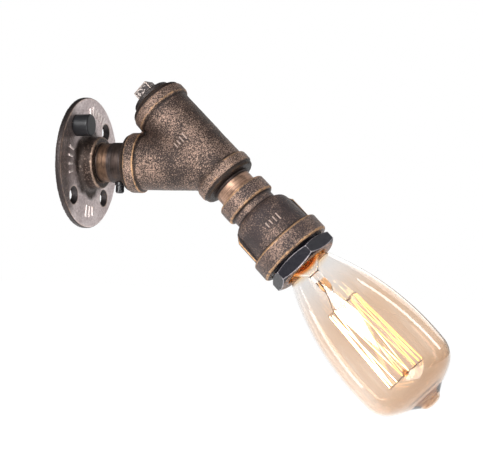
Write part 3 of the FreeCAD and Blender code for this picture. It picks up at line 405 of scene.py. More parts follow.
def new_material(name):
    """A material with its node net, its Principled node and the object coordinates."""
    material = bpy.data.materials.new(name)
    net = emptied(material)
    coords = net.node("ShaderNodeTexCoord").outputs["Object"]
    shader = net.node("ShaderNodeBsdfPrincipled")
    output = net.node("ShaderNodeOutputMaterial", {"Surface": shader.outputs[0]})
    shader.location = (6000, 0)
    output.location = (6300, 0)
    return material, net, shader, coords


def group_node(net, tree, vector, **values):
    """The outputs of a placed node group."""
    placed = net.node("ShaderNodeGroup", node_tree=tree)
    net.give(placed, Vector=vector, **values)
    return placed.outputs


def edge_wear(net, coords, start, full, broken):
    """The mask of the mesh's rubbed edges."""
    wear = net.attribute("wear")
    return group_node(net, RUBBED, coords, Wear=wear, Start=start, Full=full, Break=broken)["Mask"]


def axis_parts(net, coords, location, angle):
    """Station along an axis in metres, radius from it and the local vector."""
    turned = net.out(
        "ShaderNodeMapping",
        {"Vector": coords, "Location": location, "Rotation": (angle, 0, 0)},
        vector_type="TEXTURE",
    )
    parts = net.parts(turned)
    squares = net.plus(net.times(parts[0], parts[0]), net.times(parts[1], parts[1]))
    return parts[2], net.math("SQRT", squares), turned


def lamp_station(net, coords):
    """Station, radius and local vector on the lamp axis."""
    return axis_parts(net, coords, (0, -REACH, 0), QUARTER_TURN + LAMP_TILT)


def wall_station(net, coords):
    """Station, radius and local vector on the wall axis."""
    return axis_parts(net, coords, (0, 0, 0), QUARTER_TURN)


def add_bump(net, shader, height, depth):
    """Bump of a given depth."""
    net.give(shader, Normal=net.out("ShaderNodeBump", {"Height": height, "Distance": depth * MM}))


# ---- Materials ----


def make_cast_bronze(name, cover, dark=(0.013, 0.008, 0.0065), speck=(0.42, 0.285, 0.222),
                     rub=(0.56, 0.33, 0.17), zones=(), black_zones=(), grain=0.42, wall_rim=None):
    """Dark brown cast metal sponged with copper, with rubbed edges and dark hollows.

    Zones are (station from, station to, change of cover); black zones are (station from,
    station to), kept dark, and wall_rim is one such on the wall axis.
    """
    material, net, shader, coords = new_material(name)
    station = lamp_station(net, coords)[0]
    amount = cover
    for start, end, change in zones:
        amount = net.plus(amount, net.times(net.band(station, start, end, 1.5), change))
    places = [(station, start, end) for start, end in black_zones]
    if wall_rim:
        places.append((wall_station(net, coords)[0], *wall_rim))
    black = 0.0
    for place, start, end in places:
        black = net.most(black, net.band(place, start, end, 0.3))
    speckle = group_node(net, SPONGED, coords, Grain_mm=grain, Cover=amount, Patchiness=0.26)
    rubbed = edge_wear(net, coords, 0.30, 0.95, 0.42)
    tone = net.noise(coords, 210.0, 3.0, 0.6)
    ground = net.mix(tone, dark, scaled(dark, 2.6))
    specks = net.mix(net.noise(coords, 900.0), speck, scaled(speck, 0.55))
    painted = net.mix(speckle["Mask"], ground, specks)
    deep = net.span(net.attribute("hollow"), 0.05, 0.5)
    final = net.layers(
        painted, (rubbed, 0.85, rub), (deep, 0.8, scaled(dark, 0.5)), (black, 0.88, scaled(dark, 0.7))
    )
    bare = net.most(speckle["Mask"], rubbed)
    net.give(
        shader, Base_Color=final, Metallic=net.span(bare, 0.0, 1.0, 0.10, 0.85),
        Roughness=net.span(bare, 0.0, 1.0, 0.42, 0.48), Specular_IOR_Level=0.22,
    )
    pits = net.noise(coords, 1500.0, 3.0, 0.6)
    add_bump(net, shader, net.plus(speckle["Height"], net.times(pits, 0.5)), 0.5)
    return material


def make_flange_metal():
    """Pinkish silver cast face, browned round the hub, dark at its rim, with painted shade on one side and
    in its holes.
    """
    material, net, shader, coords = new_material("flange_cast_metal")
    station, radius, local = wall_station(net, coords)
    slow = net.noise(coords, 55.0, 3.0, 0.55)
    cloud = net.noise(coords, 620.0, 4.0, 0.7)
    sweep = net.plus(net.times(cloud, 0.55), net.times(slow, 0.45))
    pale = net.mix(net.span(sweep, 0.38, 0.62), (0.80, 0.70, 0.69), (0.50, 0.41, 0.405))
    speckle = group_node(net, SPONGED, coords, Grain_mm=0.8, Cover=0.35, Patchiness=0.3)
    brown = net.mix(net.times(speckle["Mask"], 0.62), (0.040, 0.027, 0.022), (0.30, 0.215, 0.175))
    drift = net.times(net.minus(slow, 0.5), 22 * MM)
    sides = net.parts(local)
    hub_brown_and_west_shade = net.ramp(net.plus(radius, drift), 27, 20.5)
    # painted shade: the face is darkened on one side, beyond the hub
    west_painted_shade = net.plus(net.times(sides[0], -1.0), drift)
    hub_brown_and_west_shade = net.most(hub_brown_and_west_shade, net.times(net.ramp(west_painted_shade, 15, 36), 0.8))
    off_plate = net.ramp(station, 5.2, 6.6)
    # painted shade: the walls of the screw holes are made near black
    gaps = [net.minus(net.math("ABSOLUTE", sides[index]), HOLE_OFFSET * MM) for index in (0, 1)]
    to_hole = net.math("SQRT", net.plus(*[net.times(gap, gap) for gap in gaps]))
    hole_painted_shade = net.ramp(to_hole, 6.35, 5.95)
    rim = net.ramp(radius, FLANGE_RADIUS - 1.4, FLANGE_RADIUS - 0.4)
    rim = net.times(rim, net.ramp(station, PLATE - 0.1, PLATE - 0.6))
    behind = net.ramp(station, 1.0, 0.2)
    # brown round the hub, on its barrel, at the rim and at the back, with the painted shade of one side
    dark_place = net.most(net.most(hub_brown_and_west_shade, off_plate), rim)
    dark_place = net.most(dark_place, net.times(behind, 0.7))
    rubbed = edge_wear(net, coords, 0.2, 0.8, 0.35)
    # darker in the inner corners of the mesh
    inner_corner_dark = net.span(net.attribute("hollow"), 0.03, 0.35)
    edge = net.ramp(radius, FLANGE_RADIUS - 1.0, FLANGE_RADIUS - 0.3)
    final = net.layers(
        net.mix(dark_place, pale, brown),
        (rubbed, 0.7, (0.50, 0.34, 0.25)),
        (inner_corner_dark, 0.85, (0.035, 0.025, 0.022)),
        (edge, 0.93, (0.022, 0.017, 0.017)),
        (hole_painted_shade, 0.96, (0.010, 0.008, 0.009)),
    )
    net.give(shader, Base_Color=final, Metallic=0.72, Roughness=net.span(cloud, 0.3, 0.7, 0.34, 0.50))
    add_bump(net, shader, net.plus(cloud, net.times(speckle["Height"], 0.6)), 0.28)
    return material


def make_pipe_metal(name, place, bright, dark, edges):
    """Turned pipe: coppery streaks round it between two stations, dark beside them."""
    material, net, shader, coords = new_material(name)
    station, _, local = place(net, coords)
    lines = group_node(net, STREAKS, local, Lines=1500.0, Along=90.0)["Value"]
    blotch = net.noise(coords, 150.0, 3.0, 0.6)
    inside = net.band(station, *edges, 0.6, 0.9)
    share = net.span(net.plus(net.times(lines, 0.9), blotch), 0.66, 1.12)
    copper = net.mix(share, scaled(bright, 0.35), bright)
    black = net.mix(share, dark, scaled(dark, 2.8))
    net.give(
        shader, Base_Color=net.mix(inside, black, copper), Metallic=0.75, Specular_IOR_Level=0.25,
        Roughness=net.span(share, 0.0, 1.0, 0.55, 0.42),
    )
    add_bump(net, shader, lines, 0.12)
    return material


def make_black_hex():
    """Blue-black enamel with bright rubbed corners, a brown, coppery end face and a copper bore with
    painted glow from the bulb.
    """
    material, net, shader, coords = new_material("hex_blue_black")
    station, radius, _ = lamp_station(net, coords)
    tone = net.noise(coords, 260.0, 3.0, 0.6)
    black = net.mix(tone, (0.0045, 0.0045, 0.0075), (0.013, 0.012, 0.017))
    speckle = group_node(net, SPONGED, coords, Grain_mm=0.7, Cover=0.55, Patchiness=0.3)
    face = net.mix(speckle["Mask"], (0.045, 0.027, 0.021), (0.36, 0.22, 0.16))
    on_face = net.ramp(station, 92.2, 92.7)
    body = net.mix(on_face, black, face)
    # the bore's bright orange is partly bare copper and partly painted glow from the bulb
    bore = net.ramp(radius, 16.6, 15.9)
    copper = net.mix(speckle["Height"], (0.42, 0.17, 0.05), (0.80, 0.40, 0.14))
    body = net.mix(bore, body, copper)
    rubbed = edge_wear(net, coords, 0.5, 1.4, 0.5)
    body = net.layers(body, (rubbed, 0.75, (0.46, 0.42, 0.44)))
    bare = net.most(on_face, rubbed)
    net.give(
        shader, Base_Color=body, Metallic=net.span(bare, 0.0, 1.0, 0.0, 0.7),
        Roughness=net.span(bare, 0.0, 1.0, 0.26, 0.45), Specular_IOR_Level=0.10,
    )
    add_bump(net, shader, net.plus(tone, speckle["Height"]), 0.12)
    return material


def make_plain_finish(name, colour, second, metallic, roughness,
                      grain=400.0, bump=0.05, coat=0.0, gloss=0.5):
    """A finish with a slow drift between two close tones and a fine grain."""
    material, net, shader, coords = new_material(name)
    slow = net.noise(coords, grain * 0.35, 3.0, 0.6)
    fine = net.noise(coords, grain * 3.0, 3.0, 0.6)
    net.give(
        shader, Base_Color=net.mix(slow, colour, second), Metallic=metallic,
        Roughness=net.span(fine, 0.25, 0.75, roughness * 0.85, roughness * 1.15),
        Coat_Weight=coat, Specular_IOR_Level=gloss,
    )
    add_bump(net, shader, fine, bump)
    return material


def make_bulb_glass_material():
    """Amber coated glass: clear at the neck, tinted towards the dome, brown in the tip."""
    material, net, shader, coords = new_material("amber_glass_coating")
    station, radius, local = lamp_station(net, coords)
    slow = net.noise(coords, 45.0)
    along = net.plus(station, net.times(net.minus(slow, 0.5), 12 * MM))
    clear, amber = (0.885, 0.87, 0.86), (0.855, 0.715, 0.60)
    tinted = net.mix(net.ramp(along, 96, 138), clear, amber)
    # the coating is thinner in long runs from neck to dome
    runs = group_node(net, STREAKS, local, Lines=9.0, Along=150.0)["Value"]
    thin = net.span(runs, 0.52, 0.66)
    deep = net.ramp(station, 174, 201)
    # warm light from the holder in the first few millimetres
    warm = net.ramp(station, 98.0, 92.5)
    # drawn brown lines on the exhaust tip, and the crease round its foot
    drawn = group_node(net, STREAKS, local, Lines=2200.0, Along=140.0)["Value"]
    tip = net.times(net.ramp(station, 198.0, 200.0), net.span(drawn, 0.50, 0.58))
    crease = net.times(net.ramp(radius, 16.8, 15.0), net.ramp(radius, 11.4, 13.2))
    tip = net.most(tip, net.times(crease, net.ramp(station, 196.0, 197.4)))
    # thicker glass to look through at the outline
    facing = net.node("ShaderNodeLayerWeight", {"Blend": 0.5}).outputs["Facing"]
    outline = net.span(facing, 0.62, 0.97)
    tinted = net.layers(
        tinted,
        (thin, 0.55, (0.93, 0.875, 0.83)),
        (deep, 1.0, (0.69, 0.52, 0.385)),
        (warm, 0.95, (0.98, 0.67, 0.32)),
        (tip, 0.9, (0.40, 0.19, 0.07)),
        (outline, 0.55, (0.60, 0.47, 0.38)),
    )
    net.give(shader, Base_Color=tinted, Roughness=0.0, IOR=1.46, Transmission_Weight=1.0)
    return material


def make_clear_glass():
    """Clear stem glass with slight draw lines, amber at its press and at its bead."""
    material, net, shader, coords = new_material("stem_clear_glass")
    station = lamp_station(net, coords)[0]
    lines = net.noise(coords, 240.0)
    glass = net.mix(lines, (0.98, 0.96, 0.94), (0.94, 0.91, 0.87))
    amber = 0.0
    for start, end in ((79, 95), (105, 114), (122.5, 129), (178.5, 185)):
        amber = net.most(amber, net.band(station, start, end, 1))
    colour = net.mix(amber, glass, (0.86, 0.50, 0.24))
    net.give(shader, Base_Color=colour, Roughness=0.02, IOR=1.25, Transmission_Weight=1.0)
    return material


def make_filament_glow():
    """White-hot filament, cooler on one side, with a slow drift along it."""
    material, net, shader, coords = new_material("filament_white_hot")
    sides = net.parts(lamp_station(net, coords)[2])
    drift = net.noise(coords, 60.0)
    heat = net.plus(net.times(sides[1], -45.0), net.times(drift, 1.2))
    hot = net.mix(net.span(heat, 0.35, 1.0), (0.21, 0.105, 0.022), (1.0, 0.76, 0.36))
    net.give(shader, Base_Color=(0.9, 0.7, 0.4), Emission_Color=hot, Emission_Strength=14.0)
    return material


# ---- The finishes ----

branch_bronze = make_cast_bronze(
    "branch_sponged_bronze", cover=0.44, zones=((-56.6, -49, 0.16), (8.4, 15.8, 0.14)),
    black_zones=((-60, -56.4), (15.6, 19)), wall_rim=(33, 36.4),
)
bell_bronze = make_cast_bronze(
    "bell_sponged_bronze", cover=0.33, dark=(0.017, 0.012, 0.012),
    zones=((28, 40, 0.20), (40, 49, 0.10), (54, 63, -0.10), (70, 83, 0.14)),
)
plug_bronze = make_cast_bronze(
    "plug_grey_bronze", cover=0.52, dark=(0.022, 0.018, 0.018), speck=(0.58, 0.50, 0.46), grain=0.75,
    rub=(0.42, 0.34, 0.30), black_zones=((-64.4, -58.5),),
)
flange_metal = make_flange_metal()
wall_pipe_metal = make_pipe_metal(
    "wall_pipe_streaked", wall_station, (0.125, 0.073, 0.047), (0.020, 0.014, 0.012), (14.4, 21.0)
)
sleeve_metal = make_pipe_metal(
    "sleeve_dark", wall_station, (0.045, 0.031, 0.026), (0.016, 0.012, 0.011), (25.0, 30.0)
)
lamp_pipe_metal = make_pipe_metal(
    "lamp_pipe_streaked", lamp_station, (0.32, 0.195, 0.135), (0.026, 0.019, 0.017), (20.8, 31.0)
)
hex_metal = make_black_hex()
BLACK_TONES = (0.006, 0.006, 0.007), (0.012, 0.012, 0.014)
# the plain finishes give two tones, metallic and roughness
# painted highlight: the raised flange marks are coloured lighter than the metal round them
highlit_flange_mark_metal = make_plain_finish(
    "flange_marks_painted_highlight", (0.62, 0.54, 0.52), (0.95, 0.86, 0.82), 0.75, 0.36, grain=900.0, bump=0.15
)
# painted highlight: the bell's and the branch's raised marks are coloured lighter than the bronze
highlit_mark_bronze = make_plain_finish(
    "bronze_marks_painted_highlight", (0.16, 0.115, 0.10), (0.52, 0.40, 0.34), 0.7, 0.42, grain=900.0, bump=0.2
)
black_gloss = make_plain_finish("black_gloss_enamel", *BLACK_TONES, 0.0, 0.22, gloss=0.45)
black_cover = make_plain_finish("black_satin_cover", *BLACK_TONES, 0.0, 0.34, bump=0.03, gloss=0.3)
# painted light: the holder's porcelain is coloured orange for the bulb's glow falling on it
glow_painted_porcelain = make_plain_finish(
    "holder_porcelain_painted_glow", (0.74, 0.40, 0.17), (0.82, 0.50, 0.24), 0.0, 0.22, bump=0.01, coat=0.5
)
brass = make_plain_finish(
    "stamped_brass", (0.80, 0.40, 0.13), (0.90, 0.52, 0.20), 1.0, 0.28, grain=300.0, bump=0.02
)
steel = make_plain_finish("dull_wire_steel", (0.16, 0.13, 0.12), (0.26, 0.21, 0.19), 0.9, 0.4, bump=0.01)
solder = make_plain_finish("solder_button", (0.42, 0.42, 0.42), (0.52, 0.52, 0.52), 0.9, 0.35, bump=0.03)
brown_wire = make_plain_finish(
    "brown_insulation", (0.14, 0.055, 0.028), (0.18, 0.075, 0.038), 0.0, 0.42, bump=0.01
)
blue_wire = make_plain_finish(
    "blue_insulation", (0.025, 0.07, 0.22), (0.03, 0.09, 0.27), 0.0, 0.42, bump=0.01
)
black_glass = make_plain_finish(
    "black_cap_glass", (0.008, 0.008, 0.01), (0.016, 0.016, 0.018), 0.0, 0.12, bump=0.0
)
bulb_amber = make_bulb_glass_material()
stem_clear = make_clear_glass()
filament_hot = make_filament_glow()

# ---- Cast pieces ----


def fill_crotch(mesh):
    """Soften the inner corner where the arm meets the run, as a casting's fillet does."""
    points, edges, degree = read_points(mesh)
    local = to_local(points, LAMP_AXIS)
    arm = np.array((0, -sin(LAMP_TILT), -cos(LAMP_TILT)))
    off_arm = np.linalg.norm(local - np.outer(local @ arm, arm), axis=1)
    off_run = np.hypot(local[:, 0], local[:, 1])
    cast_radius, edge, fade = 18.4, 1.2, 4.5
    outside = (off_run > cast_radius - edge) & (off_arm > cast_radius - edge)
    near = np.clip(1 - np.maximum(off_run - cast_radius, off_arm - cast_radius) / fade, 0, 1)
    share = (near * outside)[:, None]
    for _ in range(60):
        points = points + 0.6 * share * (neighbour_mean(points, edges, degree) - points)
    write_points(mesh, points)


def to_local(points, axis):
    """Points in millimetres on one of the two axes."""
    turn = np.array(axis.inverted())
    return (points @ turn[:3, :3].T + turn[:3, 3]) / MM


def sand_cast(depth, coarse, seed):
    """A shape change: the shallow unevenness of a sand casting."""

    def change(mesh):
        offset = Vector((seed * 0.37, seed * 0.61, seed * 0.83))
        points = read_points(mesh)[0]
        levels = []
        for point in points:
            spot = Vector(point) / (coarse * MM) + offset
            levels.append(noise.noise(spot) + 0.5 * noise.noise(spot * 2.7))
        write_points(mesh, points + read_normals(mesh) * (np.array(levels) * depth * MM)[:, None])

    return change


def branch_shape(mesh):
    """The branch's fillet and cast surface."""
    fill_crotch(mesh)
    sand_cast(0.10, 3.2, 1)(mesh)


def flange_shape(mesh):
    """The casting's draft in the four screw holes, narrower at the back, and its cast surface."""
    local = to_local(read_points(mesh)[0], WALL_AXIS)
    draft, reach, fade = 2.6, 9.5, 3.5
    for across in (-HOLE_OFFSET, HOLE_OFFSET):
        for up in (-HOLE_OFFSET, HOLE_OFFSET):
            off = local[:, :2] - (across, up)
            distance = np.hypot(off[:, 0], off[:, 1])
            share = np.clip((reach - distance) / fade, 0, 1) * np.clip(1 - local[:, 2] / PLATE, 0, 1)
            local[:, :2] -= off / np.maximum(distance, 1)[:, None] * (draft * share)[:, None]
    turn = np.array(WALL_AXIS)
    write_points(mesh, (local * MM) @ turn[:3, :3].T + turn[:3, 3])
    sand_cast(0.07, 3.0, 2)(mesh)


# name, node, voxel size, smoothing passes, shape change
wall_flange = cast_skin("cast_wall_flange", "wall_flange", 0.50, 2, flange_shape)
y_branch = cast_skin("cast_y_branch", "y_branch", 0.62, 3, branch_shape)
bell_reducer = cast_skin("cast_bell_reducer", "bell_reducer", 0.48, 2, sand_cast(0.08, 2.8, 3))
hex_bushing = cast_skin("hexagon_bushing", "hex_bushing", 0.38, 1)
square_plug = cast_skin("square_head_plug", "square_plug", 0.32, 2, sand_cast(0.06, 2.2, 4))
lock_screw = cast_skin("swivel_lock_screw", "lock_screw", 0.11, 1)

# ---- Turned pieces ----

PIPE_PITCH = 25.4 / 14
LAMP_PITCH = 25.4 / 7
ARM_START, ARM_END = 13.2, 33.6
SWIVEL_START = ARM_START + (ARM_END - ARM_START) * 0.431
LOCK_PLACE = ARM_END - (ARM_END - SWIVEL_START) * 0.603
FACE_GAP = 0.1
SLEEVE_END = SWIVEL_START - FACE_GAP
WALL_BORE, SPIGOT, GROOVE, SPIGOT_END = 8.6, 11.3, 10.0, 45.0
GROOVE_START, GROOVE_END = LOCK_PLACE - 2.3, LOCK_PLACE + 2.3
LAMP_BORE, LAMP_PIPE_START, LAMP_PIPE_END = 10.75, 4.4, 42.6


def pipe_thread(runs, depth):
    """A wobble for lathe: a helical V cut in the pipe's outside between each run's two stations."""
    fade = 2.0

    def cut(radius, station, angle):
        for low, high in runs:
            if radius > PIPE_RADIUS - 0.01 and low <= station <= high:
                phase = (station / PIPE_PITCH - angle / (2 * pi)) % 1
                edge = min(1, (station - low) / fade, (high - station) / fade)
                return radius - depth * (1 - abs(2 * phase - 1)) * max(edge, 0)
        return radius

    return cut


def rolled_thread(radius, station, angle):
    """A wobble for lathe: the soft rolled lamp thread of the cap and the shell, on both sides."""
    low, high, fade, depth, inner = 70.0, 87.5, 1.5, 0.9, 12.5
    if radius < inner or not low <= station <= high:
        return radius
    phase = 2 * pi * (station / LAMP_PITCH) - angle
    edge = min(1, (station - low) / fade, (high - station) / fade)
    return radius - depth * 0.5 * (1 + cos(phase)) * edge


wall_pipe = lathe("wall_pipe", finer(rounded([
    (WALL_BORE, 1.5), (PIPE_RADIUS, 1.5), (PIPE_RADIUS, SLEEVE_END), (SPIGOT, SLEEVE_END),
    (SPIGOT, GROOVE_START), (GROOVE, GROOVE_START), (GROOVE, GROOVE_END), (SPIGOT, GROOVE_END),
    (SPIGOT, SPIGOT_END), (WALL_BORE, SPIGOT_END),
], 0.35), 0.45), WALL_AXIS, 120, pipe_thread([(1.8, 15.2)], 0.75))
lamp_pipe = lathe("lamp_pipe", finer(rounded([
    (LAMP_BORE, LAMP_PIPE_START), (PIPE_RADIUS, LAMP_PIPE_START),
    (PIPE_RADIUS, LAMP_PIPE_END), (LAMP_BORE, LAMP_PIPE_END),
], 0.35), 0.45), LAMP_AXIS, 120, pipe_thread([(4.6, 21.2), (26.4, 42.4)], 0.7))
COVER_AXIS = Matrix.Translation(Vector((-HOLE_OFFSET, -PLATE, HOLE_OFFSET)) * MM) @ WALL_AXIS
hole_cover = lathe("screw_hole_cover", finer(rounded([
    (0, 9.4), (5.4, 9.4), (5.4, 0), (7.3, 0), (7.3, 11.0), (0, 11.0),
], 0.9, 6), 1.0), COVER_AXIS, 96)

# a small filler in the branch's crotch, where the background would show between its bands
CROTCH, CROTCH_HEIGHT, CROTCH_HALF_LENGTH, CROTCH_STEPS = 49.4, 2.3, 4.5, 16
CROTCH_AXIS = (
    LAMP_AXIS
    @ Matrix.Translation(Vector((0, -sin(LAMP_TILT / 2), -cos(LAMP_TILT / 2))) * CROTCH * MM)
    @ Matrix.Rotation(QUARTER_TURN, 4, "Y")
)


def crotch_profile():
    """Half an ellipse from pole to pole."""
    angles = [pi * step / CROTCH_STEPS for step in range(CROTCH_STEPS + 1)]
    outline = [(CROTCH_HEIGHT * sin(a), -CROTCH_HALF_LENGTH * cos(a)) for a in angles]
    return [(0, outline[0][1])] + outline[1:-1] + [(0, outline[-1][1])]


crotch_web = lathe("branch_crotch_web", crotch_profile(), CROTCH_AXIS, 48)

# the lamp's threaded cap and the shell that holds it
bulb_cap = lathe("threaded_bulb_cap", finer([
    (11.4, 67.6), (12.6, 67.6), (13.2, 69.5), (13.2, 91.3), (12.8, 91.3), (12.8, 69.5), (12.2, 68.0),
    (11.4, 68.0),
], 0.4), LAMP_AXIS, 96, rolled_thread)
screw_shell = lathe("threaded_screw_shell", finer([
    (9.9, 66.0), (13.73, 66.0), (13.73, 88.6), (13.28, 88.6), (13.28, 66.45), (9.9, 66.45),
], 0.4), LAMP_AXIS, 96, rolled_thread)

# ---- Bulb ----


def arc_points(start, end, radius, side, count):
    """Points from start up to end along an arc; side +1 bows to the right of the way."""
    start, end = Vector(start), Vector(end)
    middle = (start + end) / 2
    run = end - start
    right = Vector((run.y, -run.x)).normalized()
    centre = middle - right * side * sqrt(radius**2 - (run.length / 2) ** 2)
    first = atan2(start.y - centre.y, start.x - centre.x)
    last = atan2(end.y - centre.y, end.x - centre.x)
    turn = (last - first + pi) % (2 * pi) - pi
    angles = [first + turn * index / count for index in range(count)]
    return [(centre.x + radius * cos(a), centre.y + radius * sin(a)) for a in angles]


# the glass runs from the neck by a throat, the long side and the shoulder to the dome and its tip
GLASS_WALL = 0.9
NECK, NECK_START, CAP_RIM = 12.5, 85.3, 91.3
THROAT, THROAT_END, INNER_THROAT_END, THROAT_ROUND = 17.2, 98.8, 99.25, 23.6
SIDE_ROUND = 170.0
WIDEST, WIDEST_STATION, SHOULDER_ROUND = 31.7, 180.0, 17.0
SHOULDER_CENTRE = WIDEST - SHOULDER_ROUND
DOME_END = 201.0
DOME_HEIGHT = DOME_END - WIDEST_STATION
DOME_ROUND = DOME_HEIGHT**2 + SHOULDER_CENTRE**2 - SHOULDER_ROUND**2
DOME_ROUND /= 2 * (DOME_HEIGHT - SHOULDER_ROUND)


def dome_start(shoulder_round):
    """Where the shoulder's arc runs into the dome's."""
    share = shoulder_round / (DOME_ROUND - SHOULDER_ROUND)
    return SHOULDER_CENTRE * (1 + share), WIDEST_STATION + share * (DOME_ROUND - DOME_HEIGHT)


def on_dome(radius, dome_round):
    """The point of the dome at this radius from the axis."""
    return radius, DOME_END - DOME_ROUND + sqrt(dome_round**2 - radius**2)


TIP_BASE = on_dome(14.2, DOME_ROUND)
TIP_OUTSIDE = [
    TIP_BASE, (13.9, 198.6), (13.3, 198.9), (11.6, 200.0), (9.6, 201.2), (7.9, 202.4), (6.9, 203.4),
    (6.1, 204.3), (4.9, 205.1), (3.2, 205.65), (1.6, 205.85), (0, 205.9),
]
TIP_INSIDE = [
    (0, 205.0), (1.6, 204.9), (3.2, 204.6), (4.6, 204.0), (5.5, 203.2), (6.5, 202.1), (8.0, 201.0),
    (10.2, 199.8), (12.4, 198.6),
]


def glass_profile():
    """The outside from the neck to the tip, and the inside back again."""
    outside = ((NECK, CAP_RIM), (THROAT, THROAT_END), (WIDEST, WIDEST_STATION), dome_start(SHOULDER_ROUND))
    rounds = (THROAT_ROUND, SIDE_ROUND, SHOULDER_ROUND, DOME_ROUND)
    counts = (16, 40, 24, 16)
    inner_shoulder = SHOULDER_ROUND - GLASS_WALL
    inside = (
        on_dome(13.6, DOME_ROUND - GLASS_WALL), dome_start(inner_shoulder),
        (WIDEST - GLASS_WALL, WIDEST_STATION), (THROAT - GLASS_WALL, INNER_THROAT_END),
        (NECK - GLASS_WALL, CAP_RIM),
    )
    inner_rounds = (DOME_ROUND - GLASS_WALL, inner_shoulder, SIDE_ROUND, THROAT_ROUND)
    points = [(NECK, NECK_START), (NECK, 88.0)]
    for start, end, radius, count in zip(outside, outside[1:] + (TIP_BASE,), rounds, counts):
        points += arc_points(start, end, radius, 1, count)
    points += TIP_OUTSIDE + TIP_INSIDE
    for start, end, radius, count in zip(inside, inside[1:], inner_rounds, reversed(counts)):
        points += arc_points(start, end, radius, -1, count)
    return points + [inside[-1], (NECK - GLASS_WALL, NECK_START)]


bulb_glass = lathe("blown_bulb_glass", glass_profile(), LAMP_AXIS, 224)
glass_stem = lathe("glass_stem_and_rod", rounded([
    (0, 98.3), (2.6, 98.3), (10.57, 90.3), (11.57, 90.3), (11.57, 91.3), (3.6, 99.3), (3.6, 111.3),
    (0.9, 116.3), (0.9, 123.5), (2.0, 124.6), (2.0, 126.4), (0.9, 127.5), (0.9, 179.5), (2.0, 180.6),
    (2.0, 182.4), (0, 183.5),
], 0.8), LAMP_AXIS, 48)

# ---- Wires of the bulb ----

HAIRPINS = 8
NEAR_CAGE, NEAR_STATION = 11.3, 125.5
FAR_CAGE, FAR_STATION = 13.6, 181.5
BEND = 1.6


def cage_point(step, at_end):
    """A bend of the filament, in millimetres on the lamp axis."""
    angle = 2 * pi * (step + (0 if at_end else 0.5)) / HAIRPINS
    radius = FAR_CAGE if at_end else NEAR_CAGE
    station = FAR_STATION if at_end else NEAR_STATION
    return Vector((radius * cos(angle), radius * sin(angle), station))


def smooth_curve(name, paths, resolution):
    """A curve of smooth open lines, one along each list of points in metres."""
    curve = bpy.data.curves.new(name, "CURVE")
    curve.dimensions = "3D"
    curve.resolution_u = resolution
    for path in paths:
        spline = curve.splines.new("NURBS")
        spline.points.add(len(path) - 1)
        for point, spot in zip(spline.points, path):
            point.co = (*spot, 1)
        spline.order_u = 3
        spline.use_endpoint_u = True
    return curve


def round_wire(name, paths, radius, bevel_resolution):
    """One mesh of round wires along smooth paths on the lamp axis."""
    curve = smooth_curve(name, [[LAMP_AXIS @ (spot * MM) for spot in path] for path in paths], 8)
    curve.bevel_depth = radius * MM
    curve.bevel_resolution = bevel_resolution
    curve.use_fill_caps = True
    mesh = baked_mesh(add_object(name + "_line", curve), name)
    clean(mesh)
    return add_object(name, mesh)


def filament_path():
    """The zigzag through the cage, with two points close to each bend."""
    corners = [cage_point(-1, False)]
    for step in range(HAIRPINS):
        corners += [cage_point(step, True), cage_point(step, False)]
    corners.pop()
    path = [corners[0]]
    for before, here, after in zip(corners, corners[1:], corners[2:]):
        back, on = (before - here).normalized() * BEND, (after - here).normalized() * BEND
        path += [here + back, here, here + on]
    path.append(corners[-1])
    return path


filament = round_wire("glowing_filament", [filament_path()], 0.30, 4)


def ring_tree(name, own_kind):
    """Geometry nodes that repeat one shape round an axis, each a step further on, turned to face out."""
    tree = bpy.data.node_groups.new(name, "GeometryNodeTree")
    values = ("First Angle", "Angle Step", "Ring Radius", "Station", "Tilt", "Wire Radius", "Least Length")
    kinds = {
        "Geometry": "NodeSocketGeometry", "Count": "NodeSocketInt", **dict.fromkeys(values, FLOAT),
        "Own": own_kind, "Material": "NodeSocketMaterial",
    }
    sockets = {
        label: tree.interface.new_socket(label, in_out="INPUT", socket_type=kind).identifier
        for label, kind in kinds.items()
    }
    tree.interface.new_socket("Geometry", in_out="OUTPUT", socket_type="NodeSocketGeometry")
    net = NodeNet(tree)
    given = net.node("NodeGroupInput").outputs
    spots = net.out("GeometryNodePoints", {"Count": given["Count"]})
    index = net.out("GeometryNodeInputIndex")
    angle = net.plus(given["First Angle"], net.times(index, given["Angle Step"]))
    across = net.times(given["Ring Radius"], net.math("COSINE", angle))
    up = net.times(given["Ring Radius"], net.math("SINE", angle))
    place = net.vector(across, up, given["Station"])
    moved = net.out("GeometryNodeSetPosition", {"Geometry": spots, "Position": place})
    if own_kind == "NodeSocketObject":
        shape = net.node("GeometryNodeObjectInfo", {"Object": given["Own"]}).outputs["Geometry"]
    else:
        half = net.times(given["Own"], 0.5)
        ends = {"Start": net.vector(net.times(half, -1.0)), "End": net.vector(half)}
        shape = net.out("GeometryNodeCurvePrimitiveLine", ends)
    outline = net.out(
        "GeometryNodeCurvePrimitiveCircle", {"Resolution": 12, "Radius": given["Wire Radius"]}
    )
    body = net.out("GeometryNodeCurveToMesh", {"Curve": shape, "Profile Curve": outline, "Fill Caps": True})
    share = net.node("FunctionNodeRandomValue", data_type="FLOAT")
    limits = {"Min": given["Least Length"], "Max": 1.0, "Seed": 7}
    for socket in share.inputs:
        if socket.enabled and socket.name in limits:
            net.feed(socket, limits[socket.name])
    length = next(socket for socket in share.outputs if socket.enabled)
    copies = net.out("GeometryNodeInstanceOnPoints", {
        "Points": moved, "Instance": body, "Rotation": net.vector(0.0, given["Tilt"], angle),
        "Scale": net.vector(length, 1.0, 1.0),
    })
    real = net.out("GeometryNodeRealizeInstances", {"Geometry": copies})
    finished = net.out("GeometryNodeSetMaterial", {"Geometry": real, "Material": given["Material"]})
    net.node("NodeGroupOutput", {0: finished})
    return tree, sockets


